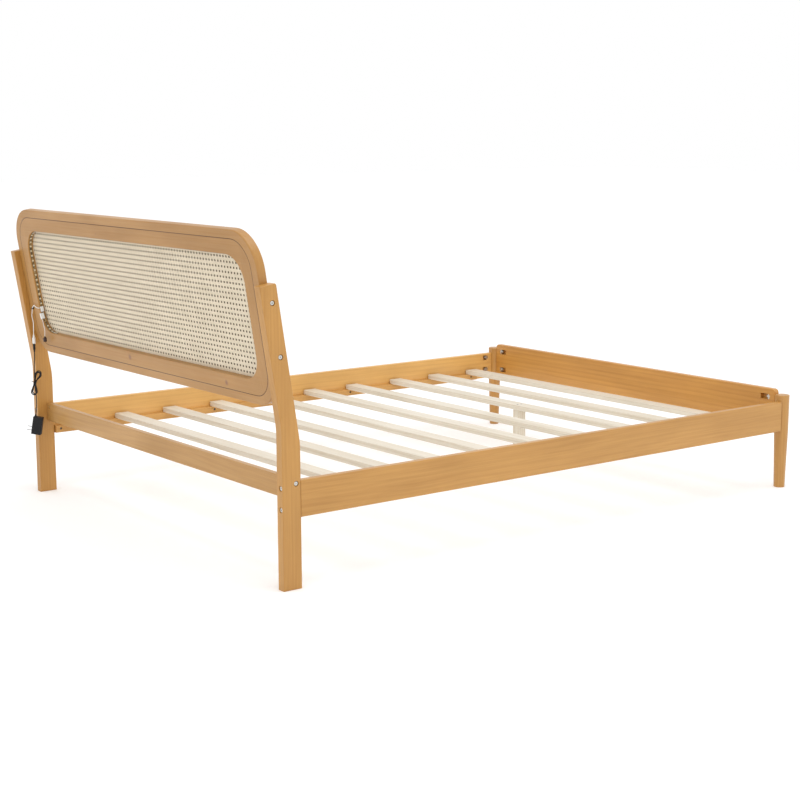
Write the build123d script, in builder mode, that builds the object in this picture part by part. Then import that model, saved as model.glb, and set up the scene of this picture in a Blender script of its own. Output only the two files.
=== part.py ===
from build123d import *
from math import cos, dist, pi, radians, sin, sqrt, tan
import os

os.makedirs("parts", exist_ok=True)

# A knock-down slatted bed in pine with a raked cane headboard and an LED lead on its back.
# Millimetres, +Z up. The foot end is at -Y, the head end at +Y, and the origin lies on the
# floor under the middle of the bed. Left is -X and right is +X, where the LED lead hangs.

# Driving dimensions
mattress_width = 1524
mattress_length = 2032
side_play = 28
length_play = 13
rail_thickness = 22
rail_bottom = 205
rail_top = 310
slat_width = 55
slat_thickness = 18
slat_length = 1540
slat_underside = 232
headboard_lean = 9

# Plan of the rails and posts
inner_width = mattress_width + side_play
inner_length = mattress_length + length_play
post_back_y = 1038
post_width = 30
post_depth = 60.5
post_front_y = post_back_y - post_depth
rail_inner_x = inner_width / 2
rail_outer_x = rail_inner_x + rail_thickness
post_outer_x = rail_outer_x
post_inner_x = post_outer_x - post_width
foot_inner_y = post_front_y - inner_length
leg_axis_x = 780
leg_axis_y = -1079.3
leg_flat = 23.5
rail_foot_y = leg_axis_y + leg_flat

# Headboard, laid out on a plane that lies in its back face and leans back with it
panel_centre_y = 1066.2
panel_centre_z = 754.05
panel_width = 2 * post_inner_x
panel_height = 497
panel_thickness = 27
lean_run = sin(radians(headboard_lean))
lean_rise = cos(radians(headboard_lean))
panel_plane = Plane(
    origin=(0, panel_centre_y, panel_centre_z),
    x_dir=(1, 0, 0),
    z_dir=(0, -lean_rise, lean_run),
)
forward_axis = Axis(panel_plane.origin, panel_plane.z_dir)

# Bolts, all M6 with a flat round head sunk in a counterbore
bolt_radius = 3
bolt_hole_radius = 3.5
bolt_head_radius = 6.5
bolt_head_height = 4
bolt_socket_radius = 2.3
bolt_socket_depth = 2.5
counterbore_radius = 8
counterbore_depth = 6
threaded_bore_radius = 3.05
barrel_nut_radius = 5
rail_bolt_x = (rail_inner_x + rail_outer_x) / 2
rail_bolt_heights = (231, 292)
rail_bolt_length = 99.5
rail_nut_y = 940.5
rail_nut_length = 16
rail_nut_hole_depth = 18
side_bolt_length = 50
side_bolt_seat_x = post_outer_x - counterbore_depth
crossrail_y = 993
crossrail_bolt_z = 302
crossrail_nut_x = 749


def raked_point(up, forward):
    """Y and Z of a point so far up the lean and so far forward of the headboard's back face."""
    return (
        panel_centre_y + up * lean_run - forward * lean_rise,
        panel_centre_z + up * lean_rise + forward * lean_run,
    )


def panel_point(x, up, forward):
    """World point of a place on the headboard, given in its own plane."""
    return panel_plane.from_local_coords(Vector(x, up, forward))


def raked_height(y, forward):
    """Height at which the raked line of that depth reaches y."""
    up = (y - panel_centre_y + forward * lean_rise) / lean_run
    return raked_point(up, forward)[1]


panel_bolt_points = [raked_point(up, panel_thickness / 2) for up in (52, -99)]

# Head posts: upright to just above the bed, then raked with the headboard
rake_back = -18.5
rake_front = 34.8
rake_top = 103
post_bend_radius = 300
post_profile = [
    (post_back_y, 0),
    (post_back_y, raked_height(post_back_y, rake_back)),
    raked_point(rake_top, rake_back),
    raked_point(rake_top, rake_front),
    (post_front_y, raked_height(post_front_y, rake_front)),
    (post_front_y, 0),
]
dowel_z = 270
dowel_radius = 4
dowel_hole_depth = 15

for side, side_name in ((-1, "left"), (1, "right")):
    with BuildPart() as head_post:
        with BuildSketch(Plane.YZ.offset(side * post_inner_x)):
            with BuildLine():
                Polyline(*post_profile, close=True)
            make_face()
            fillet([v for v in vertices() if rail_top < v.Y < panel_centre_z], post_bend_radius)
            fillet(vertices().sort_by(Axis.Y)[-1], radius=7)
        extrude(amount=side * post_width)
        fillet(faces().filter_by(Axis.X).edges(), radius=2.5)
        # From the back: two bolts into the side rail
        with BuildSketch(Plane.XZ.offset(-post_back_y)):
            with Locations(*[(side * rail_bolt_x, z) for z in rail_bolt_heights]):
                Circle(counterbore_radius)
        extrude(amount=counterbore_depth, mode=Mode.SUBTRACT)
        with BuildSketch(Plane.XZ.offset(-post_back_y)):
            with Locations(*[(side * rail_bolt_x, z) for z in rail_bolt_heights]):
                Circle(bolt_hole_radius)
        extrude(amount=post_depth, mode=Mode.SUBTRACT)
        # From outside: two bolts into the headboard and one into the crossrail
        outer_bolts = panel_bolt_points + [(crossrail_y, crossrail_bolt_z)]
        with BuildSketch(Plane.YZ.offset(side * post_outer_x)):
            with Locations(*outer_bolts):
                Circle(counterbore_radius)
        extrude(amount=-side * counterbore_depth, mode=Mode.SUBTRACT)
        with BuildSketch(Plane.YZ.offset(side * post_outer_x)):
            with Locations(*outer_bolts):
                Circle(bolt_hole_radius)
        extrude(amount=-side * post_width, mode=Mode.SUBTRACT)
        with BuildSketch(Plane.YZ.offset(side * post_inner_x)):
            with Locations((crossrail_y, dowel_z)):
                Circle(dowel_radius)
        extrude(amount=side * dowel_hole_depth, mode=Mode.SUBTRACT)
    head_post.part.label = f"head_post_{side_name}"
    export_step(head_post.part, f"parts/head_post_{side_name}.step")

# Headboard frame: rebated from the back for the cane and the ring that holds it
seam_half_width = 736.5
seam_half_height = 222
opening_half_width = 691
opening_half_height = 177
opening_top_radius = 80
opening_bottom_radius = 69
ring_thickness = 18
cane_thickness = 2
rebate_depth = ring_thickness + cane_thickness
insert_radius = 5
insert_length = 13
side_bore_depth = 27


def rounded_panel(half_width, half_height, top_radius, bottom_radius):
    """Draw a rectangle whose top corners are rounder than its bottom ones."""
    Rectangle(2 * half_width, 2 * half_height)
    fillet(vertices().group_by(Axis.Y)[-1], radius=top_radius)
    fillet(vertices().group_by(Axis.Y)[0], radius=bottom_radius)


with BuildPart() as headboard_frame:
    with BuildSketch(panel_plane):
        rounded_panel(panel_width / 2, panel_height / 2, 112, 97)
    extrude(amount=panel_thickness)
    fillet(edges(), radius=4)
    with BuildSketch(panel_plane):
        rounded_panel(seam_half_width, seam_half_height, 85, 70)
    extrude(amount=rebate_depth, mode=Mode.SUBTRACT)
    with BuildSketch(panel_plane.offset(rebate_depth)):
        rounded_panel(
            opening_half_width, opening_half_height, opening_top_radius, opening_bottom_radius
        )
    extrude(amount=panel_thickness - rebate_depth, mode=Mode.SUBTRACT)
    back_face = faces().sort_by(forward_axis)[0]
    chamfer(back_face.inner_wires()[0].edges(), length=1.2)
    front_face = faces().sort_by(forward_axis)[-1]
    fillet(front_face.inner_wires()[0].edges(), radius=2.5)
    # Bores in both ends for the threaded inserts and the bolts' tips
    for side in (-1, 1):
        with BuildSketch(Plane.YZ.offset(side * post_inner_x)):
            with Locations(*panel_bolt_points):
                Circle(insert_radius)
        extrude(amount=-side * insert_length, mode=Mode.SUBTRACT)
        with BuildSketch(Plane.YZ.offset(side * post_inner_x)):
            with Locations(*panel_bolt_points):
                Circle(bolt_hole_radius)
        extrude(amount=-side * side_bore_depth, mode=Mode.SUBTRACT)
headboard_frame.part.label = "headboard_frame"
export_step(headboard_frame.part, "parts/headboard_frame.step")

with BuildPart() as headboard_back_ring:
    with BuildSketch(panel_plane):
        rounded_panel(seam_half_width, seam_half_height, 85, 70)
    extrude(amount=ring_thickness)
    with BuildSketch(panel_plane):
        rounded_panel(
            opening_half_width, opening_half_height, opening_top_radius, opening_bottom_radius
        )
    extrude(amount=ring_thickness, mode=Mode.SUBTRACT)
    back_face = faces().sort_by(forward_axis)[0]
    chamfer(back_face.outer_wire().edges(), length=1.2)
    back_face = faces().sort_by(forward_axis)[0]
    fillet(back_face.inner_wires()[0].edges(), radius=2.5)
headboard_back_ring.part.label = "headboard_back_ring"
export_step(headboard_back_ring.part, "parts/headboard_back_ring.step")

# Cane: one flat net, each of its gaps standing for a patch of the real weave
cane_gap = 24
with BuildPart() as cane_panel:
    with BuildSketch(panel_plane.offset(ring_thickness)):
        rounded_panel(seam_half_width, seam_half_height, 85, 70)
        with GridLocations(52.5, 50.5, 25, 7):
            Rectangle(cane_gap, cane_gap, rotation=45, mode=Mode.SUBTRACT)
    extrude(amount=cane_thickness)
cane_panel.part.label = "cane_panel"
export_step(cane_panel.part, "parts/cane_panel.step")

# Crossrail between the head posts, with a barrel nut and a dowel at each end
crossrail_thickness = 20
crossrail_bottom = 254
crossrail_top = 316
crossrail_back_y = crossrail_y + crossrail_thickness / 2
crossrail_nut_length = 14
crossrail_nut_hole_depth = 17
crossrail_bore_depth = 28

with BuildPart() as head_crossrail:
    with BuildSketch(Plane.XZ.offset(-crossrail_back_y)):
        with Locations((0, (crossrail_bottom + crossrail_top) / 2)):
            Rectangle(2 * post_inner_x, crossrail_top - crossrail_bottom)
    extrude(amount=crossrail_thickness)
    fillet(edges().filter_by(Axis.X), radius=2)
    with BuildSketch(Plane.XZ.offset(-crossrail_back_y)):
        with Locations((-crossrail_nut_x, crossrail_bolt_z), (crossrail_nut_x, crossrail_bolt_z)):
            Circle(barrel_nut_radius)
    extrude(amount=crossrail_nut_hole_depth, mode=Mode.SUBTRACT)
    for side in (-1, 1):
        with BuildSketch(Plane.YZ.offset(side * post_inner_x)):
            with Locations((crossrail_y, crossrail_bolt_z)):
                Circle(bolt_hole_radius)
        extrude(amount=-side * crossrail_bore_depth, mode=Mode.SUBTRACT)
        with BuildSketch(Plane.YZ.offset(side * post_inner_x)):
            with Locations((crossrail_y, dowel_z)):
                Circle(dowel_radius)
        extrude(amount=-side * dowel_hole_depth, mode=Mode.SUBTRACT)
head_crossrail.part.label = "head_crossrail"
export_step(head_crossrail.part, "parts/head_crossrail.step")

with BuildPart() as crossrail_dowels:
    with BuildSketch(Plane.YZ.offset(post_inner_x - dowel_hole_depth)):
        with Locations((crossrail_y, dowel_z)):
            Circle(dowel_radius)
    extrude(amount=2 * dowel_hole_depth)
    chamfer(edges(), length=1)
    mirror(about=Plane.YZ)
crossrail_dowels.part.label = "crossrail_dowels"
export_step(crossrail_dowels.part, "parts/crossrail_dowels.step")

# Foot joint: studs run from the leg through the end of each board into a pocket on its inner
# face, where a half-moon washer and a nut draw the board up against the leg
pocket_radius = 10
pocket_depth = 14
stud_inset = 8
stud_length_in_leg = 20
washer_end_gap = 2
rail_stud_x = rail_inner_x + stud_inset
rail_stud_heights = (242, 292)
rail_pocket_centre = rail_foot_y + 26
rail_pocket_length = 20
board_stud_y = foot_inner_y - stud_inset
board_stud_heights = (243, 319)
board_half_length = leg_axis_x - leg_flat
board_pocket_centre = 724
board_pocket_length = 32


def pocket_outline(round_centre, length, height):
    """Draw a slot with one half-round end and one square end, lying along the local X axis."""
    with Locations((round_centre, height)):
        Circle(pocket_radius)
    with Locations((round_centre + length / 2, height)):
        Rectangle(abs(length), 2 * pocket_radius)


# Ledgers under the slat ends, screwed to the side rails
ledger_inner_x = 756
ledger_bottom = 207
ledger_head_y = 976
ledger_foot_y = -960
ledger_screw_z = 221
ledger_screw_ys = [958 - 629 * k for k in range(4)]
ledger_screw_points = [(y, ledger_screw_z) for y in ledger_screw_ys]
ledger_sink_radius = 4.5
ledger_sink_depth = 6
ledger_screw_radius = 2.25
ledger_screw_length = 30
ledger_screw_seat_x = ledger_inner_x + ledger_sink_depth
ledger_screw_bite = ledger_screw_seat_x + ledger_screw_length - rail_inner_x

for side, side_name in ((-1, "left"), (1, "right")):
    with BuildPart() as side_rail:
        with BuildSketch(Plane.YZ.offset(side * rail_inner_x)):
            with Locations(((post_front_y + rail_foot_y) / 2, (rail_bottom + rail_top) / 2)):
                Rectangle(post_front_y - rail_foot_y, rail_top - rail_bottom)
        extrude(amount=side * rail_thickness)
        fillet(edges().filter_by(Axis.Y).group_by(Axis.Z)[-1], radius=3)
        fillet(edges().filter_by(Axis.Y).group_by(Axis.Z)[0], radius=1.5)
        # Head end: bolt bores and the barrel nuts' holes from the inner face
        with BuildSketch(Plane.XZ.offset(-post_front_y)):
            with Locations(*[(side * rail_bolt_x, z) for z in rail_bolt_heights]):
                Circle(bolt_hole_radius)
        extrude(amount=rail_bolt_length - post_depth + 2 * counterbore_depth, mode=Mode.SUBTRACT)
        with BuildSketch(Plane.YZ.offset(side * rail_inner_x)):
            with Locations(*[(rail_nut_y, z) for z in rail_bolt_heights]):
                Circle(barrel_nut_radius)
        extrude(amount=side * rail_nut_hole_depth, mode=Mode.SUBTRACT)
        # Foot end: pockets on the inner face and stud holes from the end
        with BuildSketch(Plane.YZ.offset(side * rail_inner_x)):
            for height in rail_stud_heights:
                pocket_outline(rail_pocket_centre, rail_pocket_length, height)
        extrude(amount=side * pocket_depth, mode=Mode.SUBTRACT)
        with BuildSketch(Plane.XZ.offset(-rail_foot_y)):
            with Locations(*[(side * rail_stud_x, z) for z in rail_stud_heights]):
                Circle(bolt_hole_radius)
        extrude(amount=-(rail_pocket_centre - rail_foot_y), mode=Mode.SUBTRACT)
        # Pilot holes for the ledger's screws
        with BuildSketch(Plane.YZ.offset(side * rail_inner_x)):
            with Locations(*ledger_screw_points):
                Circle(ledger_screw_radius)
        extrude(amount=side * ledger_screw_bite, mode=Mode.SUBTRACT)
    side_rail.part.label = f"side_rail_{side_name}"
    export_step(side_rail.part, f"parts/side_rail_{side_name}.step")

    with BuildPart() as ledger:
        with BuildSketch(Plane.YZ.offset(side * ledger_inner_x)):
            with Locations(((ledger_head_y + ledger_foot_y) / 2, (ledger_bottom + slat_underside) / 2)):
                Rectangle(ledger_head_y - ledger_foot_y, slat_underside - ledger_bottom)
        extrude(amount=side * (rail_inner_x - ledger_inner_x))
        inner_face = faces().sort_by(Axis.X)[0 if side > 0 else -1]
        fillet(inner_face.edges().filter_by(Axis.Y), radius=1.5)
        with BuildSketch(Plane.YZ.offset(side * ledger_inner_x)):
            with Locations(*ledger_screw_points):
                Circle(ledger_sink_radius)
        extrude(amount=side * ledger_sink_depth, mode=Mode.SUBTRACT)
        with BuildSketch(Plane.YZ.offset(side * ledger_inner_x)):
            with Locations(*ledger_screw_points):
                Circle(ledger_screw_radius)
        extrude(amount=side * (rail_inner_x - ledger_inner_x), mode=Mode.SUBTRACT)
    ledger.part.label = f"ledger_{side_name}"
    export_step(ledger.part, f"parts/ledger_{side_name}.step")

# Footboard between the foot legs
footboard_thickness = 22
footboard_top = 349
with BuildPart() as footboard:
    with BuildSketch(Plane.XZ.offset(-foot_inner_y)):
        with Locations((0, (rail_bottom + footboard_top) / 2)):
            Rectangle(2 * board_half_length, footboard_top - rail_bottom)
        fillet(vertices().group_by(Axis.Y)[-1], radius=15)
    extrude(amount=footboard_thickness)
    fillet(faces().filter_by(Axis.Y).edges(), radius=3)
    with BuildSketch(Plane.XZ.offset(-foot_inner_y)):
        for side in (-1, 1):
            for height in board_stud_heights:
                pocket_outline(side * board_pocket_centre, -side * board_pocket_length, height)
    extrude(amount=pocket_depth, mode=Mode.SUBTRACT)
    for side in (-1, 1):
        with BuildSketch(Plane.YZ.offset(side * board_half_length)):
            with Locations(*[(board_stud_y, z) for z in board_stud_heights]):
                Circle(bolt_hole_radius)
        extrude(amount=-side * (board_half_length - board_pocket_centre), mode=Mode.SUBTRACT)
footboard.part.label = "footboard"
export_step(footboard.part, "parts/footboard.step")

# Foot legs: turned, tapering down from the rails, with two flats for the boards
leg_height = 332
leg_foot_radius = 19
leg_swell_radius = 24.6
leg_top_radius = 25.2
for side, side_name in ((-1, "left"), (1, "right")):
    with BuildPart() as foot_leg:
        leg_origin = (side * leg_axis_x, leg_axis_y, 0)
        with BuildSketch(Plane(leg_origin, x_dir=(side, 0, 0), z_dir=(0, -side, 0))):
            with BuildLine():
                Polyline(
                    (0, 0),
                    (leg_foot_radius, 0),
                    (leg_swell_radius, rail_bottom),
                    (leg_top_radius, leg_height),
                    (0, leg_height),
                    close=True,
                )
            make_face()
            fillet(vertices().group_by(Axis.Y)[0].sort_by(Axis.X)[-1], radius=1.5)
            fillet(vertices().group_by(Axis.Y)[-1].sort_by(Axis.X)[-1], radius=3)
        revolve(axis=Axis(leg_origin, (0, 0, 1)))
        with BuildSketch(Plane.XY):
            with Locations((side * (board_half_length - leg_flat), leg_axis_y)):
                Rectangle(2 * leg_flat, 3 * leg_flat)
            with Locations((side * leg_axis_x, rail_foot_y + leg_flat)):
                Rectangle(3 * leg_flat, 2 * leg_flat)
        extrude(amount=leg_height, mode=Mode.SUBTRACT)
        with BuildSketch(Plane.XZ.offset(-rail_foot_y)):
            with Locations(*[(side * rail_stud_x, z) for z in rail_stud_heights]):
                Circle(bolt_radius)
        extrude(amount=stud_length_in_leg, mode=Mode.SUBTRACT)
        with BuildSketch(Plane.YZ.offset(side * board_half_length)):
            with Locations(*[(board_stud_y, z) for z in board_stud_heights]):
                Circle(bolt_radius)
        extrude(amount=side * stud_length_in_leg, mode=Mode.SUBTRACT)
    foot_leg.part.label = f"foot_leg_{side_name}"
    export_step(foot_leg.part, f"parts/foot_leg_{side_name}.step")

# Slats, laid across the ledgers a little unevenly. Each number is the edge nearest the head.
slat_head_edges = [948, 739, 542, 341, 128, -85, -288, -508, -708, -911]
propped_slat = 7
centre_leg_width = 30
centre_leg_depth = 36
centre_leg_y = -532.5
screw_spacing = 18
slat_top = slat_underside + slat_thickness
leg_screw_radius = 2
leg_screw_head_radius = 4
leg_screw_head_height = 3
leg_screw_length = 55
leg_screw_ys = (centre_leg_y - screw_spacing / 2, centre_leg_y + screw_spacing / 2)

for number, head_edge in enumerate(slat_head_edges):
    with BuildPart() as slat:
        with BuildSketch(Plane.XY.offset(slat_underside)):
            with Locations((0, head_edge - slat_width / 2)):
                Rectangle(slat_length, slat_width)
        extrude(amount=slat_thickness)
        fillet(edges().filter_by(Axis.X), radius=2)
        if number == propped_slat:
            with Locations(*[(0, y, slat_top) for y in leg_screw_ys]):
                Cone(
                    leg_screw_radius,
                    leg_screw_head_radius,
                    leg_screw_head_height,
                    align=(Align.CENTER, Align.CENTER, Align.MAX),
                    mode=Mode.SUBTRACT,
                )
                Cylinder(
                    leg_screw_radius,
                    slat_thickness,
                    align=(Align.CENTER, Align.CENTER, Align.MAX),
                    mode=Mode.SUBTRACT,
                )
    slat.part.label = f"slat_{number + 1:02d}"
    export_step(slat.part, f"parts/slat_{number + 1:02d}.step")

with BuildPart() as centre_leg:
    with BuildSketch(Plane.XY):
        with Locations((0, centre_leg_y)):
            Rectangle(centre_leg_width, centre_leg_depth)
    extrude(amount=slat_underside)
    fillet(edges().filter_by(Axis.Z), radius=1.5)
    with BuildSketch(Plane.XY.offset(slat_underside)):
        with Locations(*[(0, y) for y in leg_screw_ys]):
            Circle(leg_screw_radius)
    extrude(amount=slat_thickness - leg_screw_length, mode=Mode.SUBTRACT)
centre_leg.part.label = "centre_leg"
export_step(centre_leg.part, "parts/centre_leg.step")

with BuildPart() as centre_leg_screws:
    with Locations(*[(0, y, slat_top) for y in leg_screw_ys]):
        Cone(
            leg_screw_radius,
            leg_screw_head_radius,
            leg_screw_head_height,
            align=(Align.CENTER, Align.CENTER, Align.MAX),
        )
        Cylinder(leg_screw_radius, leg_screw_length, align=(Align.CENTER, Align.CENTER, Align.MAX))
    with BuildSketch(Plane.XY.offset(slat_top)):
        with Locations(*[(0, y) for y in leg_screw_ys]):
            Rectangle(4.4, 0.9)
            Rectangle(0.9, 4.4)
    extrude(amount=-1.6, mode=Mode.SUBTRACT)
centre_leg_screws.part.label = "centre_leg_screws"
export_step(centre_leg_screws.part, "parts/centre_leg_screws.step")

# Bolts through the posts
with BuildPart() as rail_bolts:
    bolt_places = [(x, z) for x in (-rail_bolt_x, rail_bolt_x) for z in rail_bolt_heights]
    bolt_seat = Plane.XZ.offset(counterbore_depth - post_back_y)
    with BuildSketch(bolt_seat):
        with Locations(*bolt_places):
            Circle(bolt_radius)
    extrude(amount=rail_bolt_length)
    with BuildSketch(bolt_seat):
        with Locations(*bolt_places):
            Circle(bolt_head_radius)
    extrude(amount=-bolt_head_height)
    chamfer(edges().sort_by(Axis.Y)[-4:], length=0.8)
    with BuildSketch(bolt_seat.offset(-bolt_head_height)):
        with Locations(*bolt_places):
            RegularPolygon(bolt_socket_radius, 6)
    extrude(amount=bolt_socket_depth, mode=Mode.SUBTRACT)
rail_bolts.part.label = "rail_bolts"
export_step(rail_bolts.part, "parts/rail_bolts.step")

with BuildPart() as rail_barrel_nuts:
    with BuildSketch(Plane.YZ.offset(rail_inner_x + rail_nut_hole_depth)):
        with Locations(*[(rail_nut_y, z) for z in rail_bolt_heights]):
            Circle(barrel_nut_radius)
    extrude(amount=-rail_nut_length)
    with BuildSketch(Plane.XZ.offset(-rail_nut_y - barrel_nut_radius)):
        with Locations(*[(rail_bolt_x, z) for z in rail_bolt_heights]):
            Circle(threaded_bore_radius)
    extrude(amount=2 * barrel_nut_radius, mode=Mode.SUBTRACT)
    with BuildSketch(Plane.YZ.offset(rail_inner_x + rail_nut_hole_depth - rail_nut_length)):
        with Locations(*[(rail_nut_y, z) for z in rail_bolt_heights]):
            Rectangle(2 * barrel_nut_radius, 1.4)
    extrude(amount=1.5, mode=Mode.SUBTRACT)
    mirror(about=Plane.YZ)
rail_barrel_nuts.part.label = "rail_barrel_nuts"
export_step(rail_barrel_nuts.part, "parts/rail_barrel_nuts.step")

for node_name, bolt_places in (
    ("panel_bolts", panel_bolt_points),
    ("crossrail_bolts", [(crossrail_y, crossrail_bolt_z)]),
):
    with BuildPart() as side_bolts:
        with BuildSketch(Plane.YZ.offset(side_bolt_seat_x)):
            with Locations(*bolt_places):
                Circle(bolt_radius)
        extrude(amount=-side_bolt_length)
        with BuildSketch(Plane.YZ.offset(side_bolt_seat_x)):
            with Locations(*bolt_places):
                Circle(bolt_head_radius)
        extrude(amount=bolt_head_height)
        chamfer(edges().sort_by(Axis.X)[-len(bolt_places):], length=0.8)
        with BuildSketch(Plane.YZ.offset(side_bolt_seat_x + bolt_head_height)):
            with Locations(*bolt_places):
                RegularPolygon(bolt_socket_radius, 6)
        extrude(amount=-bolt_socket_depth, mode=Mode.SUBTRACT)
        mirror(about=Plane.YZ)
    side_bolts.part.label = node_name
    export_step(side_bolts.part, f"parts/{node_name}.step")

with BuildPart() as panel_inserts:
    with BuildSketch(Plane.YZ.offset(post_inner_x)):
        with Locations(*panel_bolt_points):
            Circle(insert_radius)
            Circle(threaded_bore_radius, mode=Mode.SUBTRACT)
    extrude(amount=-insert_length)
    mirror(about=Plane.YZ)
panel_inserts.part.label = "panel_inserts"
export_step(panel_inserts.part, "parts/panel_inserts.step")

with BuildPart() as crossrail_nuts:
    with BuildSketch(Plane.XZ.offset(crossrail_nut_hole_depth - crossrail_back_y)):
        with Locations((crossrail_nut_x, crossrail_bolt_z)):
            Circle(barrel_nut_radius)
    extrude(amount=-crossrail_nut_length)
    with BuildSketch(Plane.YZ.offset(crossrail_nut_x - barrel_nut_radius)):
        with Locations((crossrail_y, crossrail_bolt_z)):
            Circle(threaded_bore_radius)
    extrude(amount=2 * barrel_nut_radius, mode=Mode.SUBTRACT)
    mirror(about=Plane.YZ)
crossrail_nuts.part.label = "crossrail_nuts"
export_step(crossrail_nuts.part, "parts/crossrail_nuts.step")

# Studs, half-moon washers and nuts of the foot joint, made for the right leg and mirrored
washer_radius = pocket_radius
washer_thickness = 11.5
nut_height = 5
nut_radius = 5.7
stud_past_washer = 8
rail_places = [(rail_stud_x, z) for z in rail_stud_heights]
board_places = [(board_stud_y, z) for z in board_stud_heights]

with BuildPart() as foot_studs:
    with BuildSketch(Plane.XZ.offset(-rail_pocket_centre - stud_past_washer)):
        with Locations(*rail_places):
            Circle(bolt_radius)
    extrude(amount=rail_pocket_centre + stud_past_washer - rail_foot_y + stud_length_in_leg)
    with BuildSketch(Plane.YZ.offset(board_pocket_centre - stud_past_washer)):
        with Locations(*board_places):
            Circle(bolt_radius)
    extrude(amount=board_half_length - board_pocket_centre + stud_past_washer + stud_length_in_leg)
    mirror(about=Plane.YZ)
foot_studs.part.label = "foot_studs"
export_step(foot_studs.part, "parts/foot_studs.step")

with BuildPart() as half_moon_washers:
    with BuildSketch(Plane.YZ.offset(rail_inner_x + washer_end_gap)):
        with Locations(*[(rail_pocket_centre, z) for z in rail_stud_heights]):
            Circle(washer_radius)
            Rectangle(
                washer_radius, 2 * washer_radius, align=(Align.MIN, Align.CENTER), mode=Mode.SUBTRACT
            )
    extrude(amount=washer_thickness)
    with BuildSketch(Plane.XZ.offset(-rail_pocket_centre)):
        with Locations(*rail_places):
            Circle(threaded_bore_radius)
    extrude(amount=washer_radius, mode=Mode.SUBTRACT)
    with BuildSketch(Plane.XZ.offset(washer_end_gap - foot_inner_y)):
        with Locations(*[(board_pocket_centre, z) for z in board_stud_heights]):
            Circle(washer_radius)
            Rectangle(
                washer_radius, 2 * washer_radius, align=(Align.MAX, Align.CENTER), mode=Mode.SUBTRACT
            )
    extrude(amount=washer_thickness)
    with BuildSketch(Plane.YZ.offset(board_pocket_centre)):
        with Locations(*board_places):
            Circle(threaded_bore_radius)
    extrude(amount=washer_radius, mode=Mode.SUBTRACT)
    mirror(about=Plane.YZ)
half_moon_washers.part.label = "half_moon_washers"
export_step(half_moon_washers.part, "parts/half_moon_washers.step")

with BuildPart() as foot_nuts:
    with BuildSketch(Plane.XZ.offset(-rail_pocket_centre)):
        with Locations(*rail_places):
            RegularPolygon(nut_radius, 6)
            Circle(threaded_bore_radius, mode=Mode.SUBTRACT)
    extrude(amount=-nut_height)
    with BuildSketch(Plane.YZ.offset(board_pocket_centre)):
        with Locations(*board_places):
            RegularPolygon(nut_radius, 6)
            Circle(threaded_bore_radius, mode=Mode.SUBTRACT)
    extrude(amount=-nut_height)
    mirror(about=Plane.YZ)
foot_nuts.part.label = "foot_nuts"
export_step(foot_nuts.part, "parts/foot_nuts.step")

with BuildPart() as ledger_screws:
    with BuildSketch(Plane.YZ.offset(ledger_screw_seat_x)):
        with Locations(*ledger_screw_points):
            Circle(ledger_screw_radius)
    extrude(amount=ledger_screw_length)
    with BuildSketch(Plane.YZ.offset(ledger_screw_seat_x)):
        with Locations(*ledger_screw_points):
            Circle(4.2)
    extrude(amount=-3)
    with BuildSketch(Plane.YZ.offset(ledger_screw_seat_x - 3)):
        with Locations(*ledger_screw_points):
            Rectangle(4.4, 0.9)
            Rectangle(0.9, 4.4)
    extrude(amount=1.6, mode=Mode.SUBTRACT)
    mirror(about=Plane.YZ)
ledger_screws.part.label = "ledger_screws"
export_step(ledger_screws.part, "parts/ledger_screws.step")

# LED tape round the wall of the headboard's opening, its plug connector and its controller
tape_thickness = 1.2
tape_width = 8
tape_back = 5
tape_half_width = opening_half_width - tape_thickness
corner_x = opening_half_width - opening_bottom_radius
corner_rise = opening_bottom_radius - opening_half_height
with BuildPart() as led_strip:
    with BuildSketch(panel_plane.offset(tape_back)):
        rounded_panel(
            opening_half_width, opening_half_height, opening_top_radius, opening_bottom_radius
        )
    extrude(amount=tape_width)
    with BuildSketch(panel_plane.offset(tape_back)):
        rounded_panel(
            tape_half_width,
            opening_half_height - tape_thickness,
            opening_top_radius - tape_thickness,
            opening_bottom_radius - tape_thickness,
        )
        with Locations((-50, -opening_half_height)):
            Rectangle(1300, 150)
    extrude(amount=tape_width, mode=Mode.SUBTRACT)
led_strip.part.label = "led_strip"
export_step(led_strip.part, "parts/led_strip.step")

connector_thickness = 4.8
connector_x = tape_half_width - connector_thickness / 2
with BuildPart() as led_connector:
    with BuildSketch(panel_plane.offset(3)):
        with Locations((connector_x, -98)):
            Rectangle(connector_thickness, 18)
    extrude(amount=10)
    inner_edges = edges().filter_by(lambda e: e.center().X < connector_x - 1)
    fillet(inner_edges, radius=0.8)
led_connector.part.label = "led_connector"
export_step(led_connector.part, "parts/led_connector.step")

controller_outer = opening_bottom_radius - tape_thickness
controller_inner = controller_outer - 8.8
controller_start = -3
controller_sweep = -18
with BuildPart() as led_controller:
    with BuildSketch(panel_plane.offset(-4)):
        with BuildLine():
            outer_arc = CenterArc(
                (corner_x, corner_rise), controller_outer, controller_start, controller_sweep
            )
            inner_arc = CenterArc(
                (corner_x, corner_rise), controller_inner, controller_start, controller_sweep
            )
            Line(outer_arc @ 0, inner_arc @ 0)
            Line(outer_arc @ 1, inner_arc @ 1)
        make_face()
    extrude(amount=12)
    chamfer(faces().sort_by(forward_axis)[0].edges(), length=0.7)
led_controller.part.label = "led_controller"
export_step(led_controller.part, "parts/led_controller.step")


def bend_radii(route):
    """Radius for each inner point: 0.45 of the shorter run beside it over the half turn's tangent."""
    radii = []
    for before, corner, after in zip(route, route[1:], route[2:]):
        run_in = Vector(*corner) - Vector(*before)
        run_out = Vector(*after) - Vector(*corner)
        half_turn = radians(run_in.get_angle(run_out)) / 2
        radii.append(0.45 * min(run_in.length, run_out.length) / tan(half_turn))
    return radii


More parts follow.
